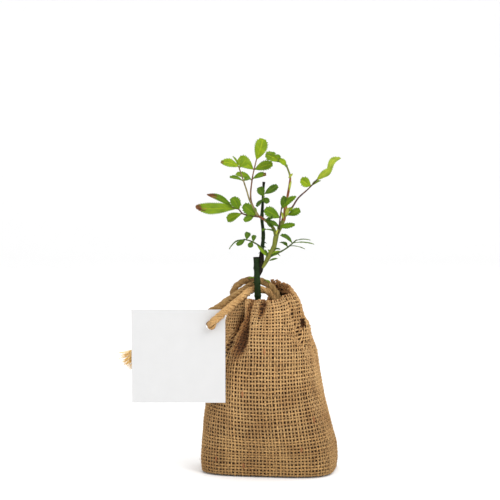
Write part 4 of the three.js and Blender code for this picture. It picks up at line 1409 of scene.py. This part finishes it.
class SAPLING_OT_stems(bpy.types.Operator):
    """Grow the stems with their bark, nodes, collar and dead tips."""
    bl_idname = "sapling.stems"
    bl_label = "Stems"

    def execute(self, context):
        settings = context.scene.sapling_plant
        old = tuple(settings.old_bark)
        new = tuple(settings.new_bark)
        materials = [
            bark_material("bark_old", shade(old, 0.55), old, shade(old, 2.2)),
            bark_material("bark_new", shade(new, 0.7), new, shade(new, 1.3), 0.42),
            bark_material("bark_red", *RED_BARK_SKIN, 0.42),
            bark_material("bark_dead", *DEAD_BARK_SKIN, 0.8),
        ]
        random = np.random.default_rng(61)
        for name, (points, radii) in LIMBS.items():
            shape = Shape()
            self.add_limb(shape, random, name, points, radii)
            slot = "old_stem" if name in ("main_stem", "upright_cane") else "young_stem"
            shape.build("bark_" + name, materials, slot, [name])
        return {"FINISHED"}

    def add_limb(self, shape, random, name, points, radii):
        """Adds one limb with ridges, swollen nodes and the colours along it."""
        sides = 20
        points = LIMB_ROOTS.get(name, []) + points
        count = int(length_of(points) / 0.45) + 2
        path = curve_through(points, count)
        t = np.linspace(0, 1, count)
        radius = stretched(radii, count) * (1 + wander(random, count, max(4, count // 8), 0.05))
        _, side, other = frame_along(path)
        angle = round_angles(sides)
        ridge = np.zeros((count, sides))
        for _ in range(9):
            turns = random.integers(1, 6)
            phase = random.uniform(0, TAU) + wander(random, count, 6, 0.8)
            ridge += 0.018 * np.sin(turns * angle[None] + phase[:, None])
        ridge += random.normal(0, 0.008, (count, sides))
        node_count = max(1, int(length_of(path) / 17))
        for place in (np.arange(node_count) + random.uniform(0.2, 0.8, node_count)) / node_count:
            ridge += 0.16 * bell((t - place) * length_of(path) / 1.1)[:, None]
        ring = radius[:, None] * (1 + ridge)
        verts = path[:, None] + side[:, None] * (ring * np.cos(angle))[..., None]
        verts = verts + other[:, None] * (ring * np.sin(angle))[..., None]
        ends = [path[:1, None] + 0 * verts[:1], verts, path[-1:, None] + 0 * verts[-1:]]
        cut = [verts[:1] * 0.02 + ends[0] * 0.98, verts, verts[-1:] * 0.02 + ends[2] * 0.98]
        verts = np.concatenate(cut)
        tint = self.colour_along(name, path)
        tint = np.concatenate([tint[:1], tint])
        shape.add(verts * MM, grid_quads(count + 2, sides, wrap=True), np.repeat(tint, sides))
        for _ in range(PRICKLES.get(name, 0)):
            k = random.integers(count // 8, count - count // 8)
            a = random.uniform(0, TAU)
            way = side[k] * math.cos(a) - other[k] * math.sin(a)
            spike = path[k] + way * (radius[k] * 0.8 + np.linspace(0, 2, 5)[:, None])
            spike[:, 2] -= np.linspace(0, 1, 5) ** 2 * 0.7
            sweep(shape, spike * MM, np.array([0.8, 0.5, 0.3, 0.16, 0.04]) * MM, sides=7, tint=tint[k])

    def colour_along(self, name, path):
        """Which bark each ring of a limb has."""
        z = path[:, 2]
        if name == "main_stem":
            return np.where(z > STUB_DEAD_FROM, BARK_DEAD, BARK_OLD)
        if name == "upright_cane":
            return np.where((z > CANE_ALIVE[1]) | (z < CANE_ALIVE[0]), BARK_DEAD, BARK_OLD)
        if name == "shoot_top":
            return np.where((z > TOP_RED[0]) & (z < TOP_RED[1]), BARK_RED, BARK_NEW)
        if name == "side_shoot":
            return np.where(path[:, 0] < SIDE_RED_LEFT_OF, BARK_RED, BARK_NEW)
        return np.full(len(z), BARK_NEW)


class SAPLING_OT_leaves(bpy.types.Operator):
    """Grow the compound leaves, their stalks and the bracts on the shoots."""
    bl_idname = "sapling.leaves"
    bl_label = "Leaves"

    def execute(self, context):
        settings = context.scene.sapling_plant
        materials = [leaf_material("leaf_" + name, colour) for name, colour in LEAF_COLOURS.items()]
        materials.append(leaf_material("leaf_under", UNDER_COLOUR, under=True))
        skins = [bark_material("stalk_" + name, *skin, 0.5) for name, skin in STALK_SKINS.items()]
        random = np.random.default_rng(71)
        blades, stalks = Shape(), Shape()
        tooth = settings.tooth / MM
        for name in LEAVES:
            add_compound_leaf(blades, stalks, random, name, tooth)
        for bract in BRACTS:
            add_blade(blades, random, *bract, 0.1, tooth, bract[2] > BROAD_BRACT)
        blades.build("leaf_blades", materials, "foliage", list(LEAVES))
        stalks.build("leaf_stalks", skins, "foliage", list(LEAVES))
        return {"FINISHED"}


class SAPLING_OT_cord(bpy.types.Operator):
    """Lay the jute cord, its knot behind the card and its frayed end."""
    bl_idname = "sapling.cord"
    bl_label = "Jute cord"

    def execute(self, context):
        settings = context.scene.sapling_cord
        base = tuple(settings.colour)
        materials = [
            fibre_material("jute_light", base, 0.35),
            # A darker copy of the jute: painted shade for the cord's loop and back leg, which lie behind.
            fibre_material("jute_shade", (base[0] * 0.62, base[1] * 0.62, base[2] * 0.56), 0.3),
            fibre_material("jute_straw", JUTE_STRAW, 0.15),
        ]
        random = np.random.default_rng(81)
        lay = settings.lay / MM
        for name, (points, radii) in CORDS.items():
            shape = Shape()
            # Painted shade: all but the front leg take the darker jute.
            tint = 0 if name == "tie_front_leg" else 1
            add_rope(shape, random, points, radii, lay, tint)
            if name == "tie_front_leg":
                t = np.linspace(0, TAU * 0.94, 40)
                knot = np.stack([
                    0.95 * (np.sin(t) + 1.1 * np.sin(2 * t)),
                    0.75 * np.sin(3 * t),
                    0.85 * (np.cos(t) - 1.1 * np.cos(2 * t)),
                ], axis=-1)
                place = np.array(EYELET) + (0, 4.5, 0)
                add_rope(shape, random, knot + place, [1.9, 1.9], lay * 0.6, 0)
            shape.build("cord_" + name, materials, "jute_cord", [name])
        self.add_fray(random, materials)
        return {"FINISHED"}

    def add_fray(self, random, materials):
        """Adds the straw-like fan of fibres at the cord's cut end."""
        end = np.array(CORDS["tie_back_leg"][0][-1])
        shape = Shape()
        count = FRAY_FIBRES
        dip = np.radians(random.uniform(*FRAY_DIP, count))
        dip = np.where(np.abs(dip - 0.45) < 0.04, dip + 0.1, dip)
        ways = np.stack([-np.cos(dip), random.normal(0, 0.12, count), -np.sin(dip)], axis=-1)
        lengths = random.uniform(*FRAY_LENGTHS, count)
        t = np.linspace(0, 1, 9)[None, :, None]
        feet = end + random.normal(0, 0.7, (count, 3))
        bend = random.normal(0, 0.03, (count, 1, 3)) * t
        paths = feet[:, None] + lengths[:, None, None] * t * (ways[:, None] + bend)
        width = random.uniform(*FRAY_SIZES, (count, 1)) * np.linspace(1, 0.5, 9)[None]
        sweep(shape, paths * MM, width * MM, sides=5, tint=2)
        shape.build("cord_fray", materials, "jute_cord", ["tie_frayed_end"])


class SAPLING_OT_card(bpy.types.Operator):
    """Give the blank card its paper finish."""
    bl_idname = "sapling.card"
    bl_label = "Blank card"

    def execute(self, context):
        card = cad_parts["hang_card"]
        card.data.materials.clear()
        card.data.materials.append(card_material("paper_board"))
        return {"FINISHED"}


class SAPLING_PT_panel(bpy.types.Panel):
    """Lists the pieces of the sapling and their settings."""
    bl_label = "Sapling"
    bl_idname = "SAPLING_PT_panel"
    bl_space_type = "VIEW_3D"
    bl_region_type = "UI"
    bl_category = "Sapling"

    def draw(self, context):
        for operator, group in PIECES:
            self.layout.operator(operator.bl_idname)
            if group is None:
                continue
            settings = getattr(context.scene, group)
            for name in settings.bl_rna.properties.keys():
                if name not in ("rna_type", "name"):
                    self.layout.prop(settings, name)


PIECES = [
    (SAPLING_OT_stage, "sapling_stage"),
    (SAPLING_OT_bag, "sapling_bag"),
    (SAPLING_OT_soil, None),
    (SAPLING_OT_stems, "sapling_plant"),
    (SAPLING_OT_leaves, None),
    (SAPLING_OT_cord, "sapling_cord"),
    (SAPLING_OT_card, None),
]
SETTINGS = {
    "sapling_bag": BagSettings,
    "sapling_cord": CordSettings,
    "sapling_plant": PlantSettings,
    "sapling_stage": StageSettings,
}


def register():
    """Registers every class and hangs the settings on the scene."""
    for name, group in SETTINGS.items():
        bpy.utils.register_class(group)
        setattr(bpy.types.Scene, name, PointerProperty(type=group))
    for operator, _ in PIECES:
        bpy.utils.register_class(operator)
    bpy.utils.register_class(SAPLING_PT_panel)


def unregister():
    """Takes away what register added."""
    bpy.utils.unregister_class(SAPLING_PT_panel)
    for operator, _ in reversed(PIECES):
        bpy.utils.unregister_class(operator)
    for name, group in SETTINGS.items():
        delattr(bpy.types.Scene, name)
        bpy.utils.unregister_class(group)


def main():
    """Makes every piece in turn."""
    register()
    bpy.ops.sapling.stage()
    bpy.ops.sapling.bag()
    bpy.ops.sapling.soil()
    bpy.ops.sapling.stems()
    bpy.ops.sapling.leaves()
    bpy.ops.sapling.cord()
    bpy.ops.sapling.card()


if __name__ == "__main__":
    main()
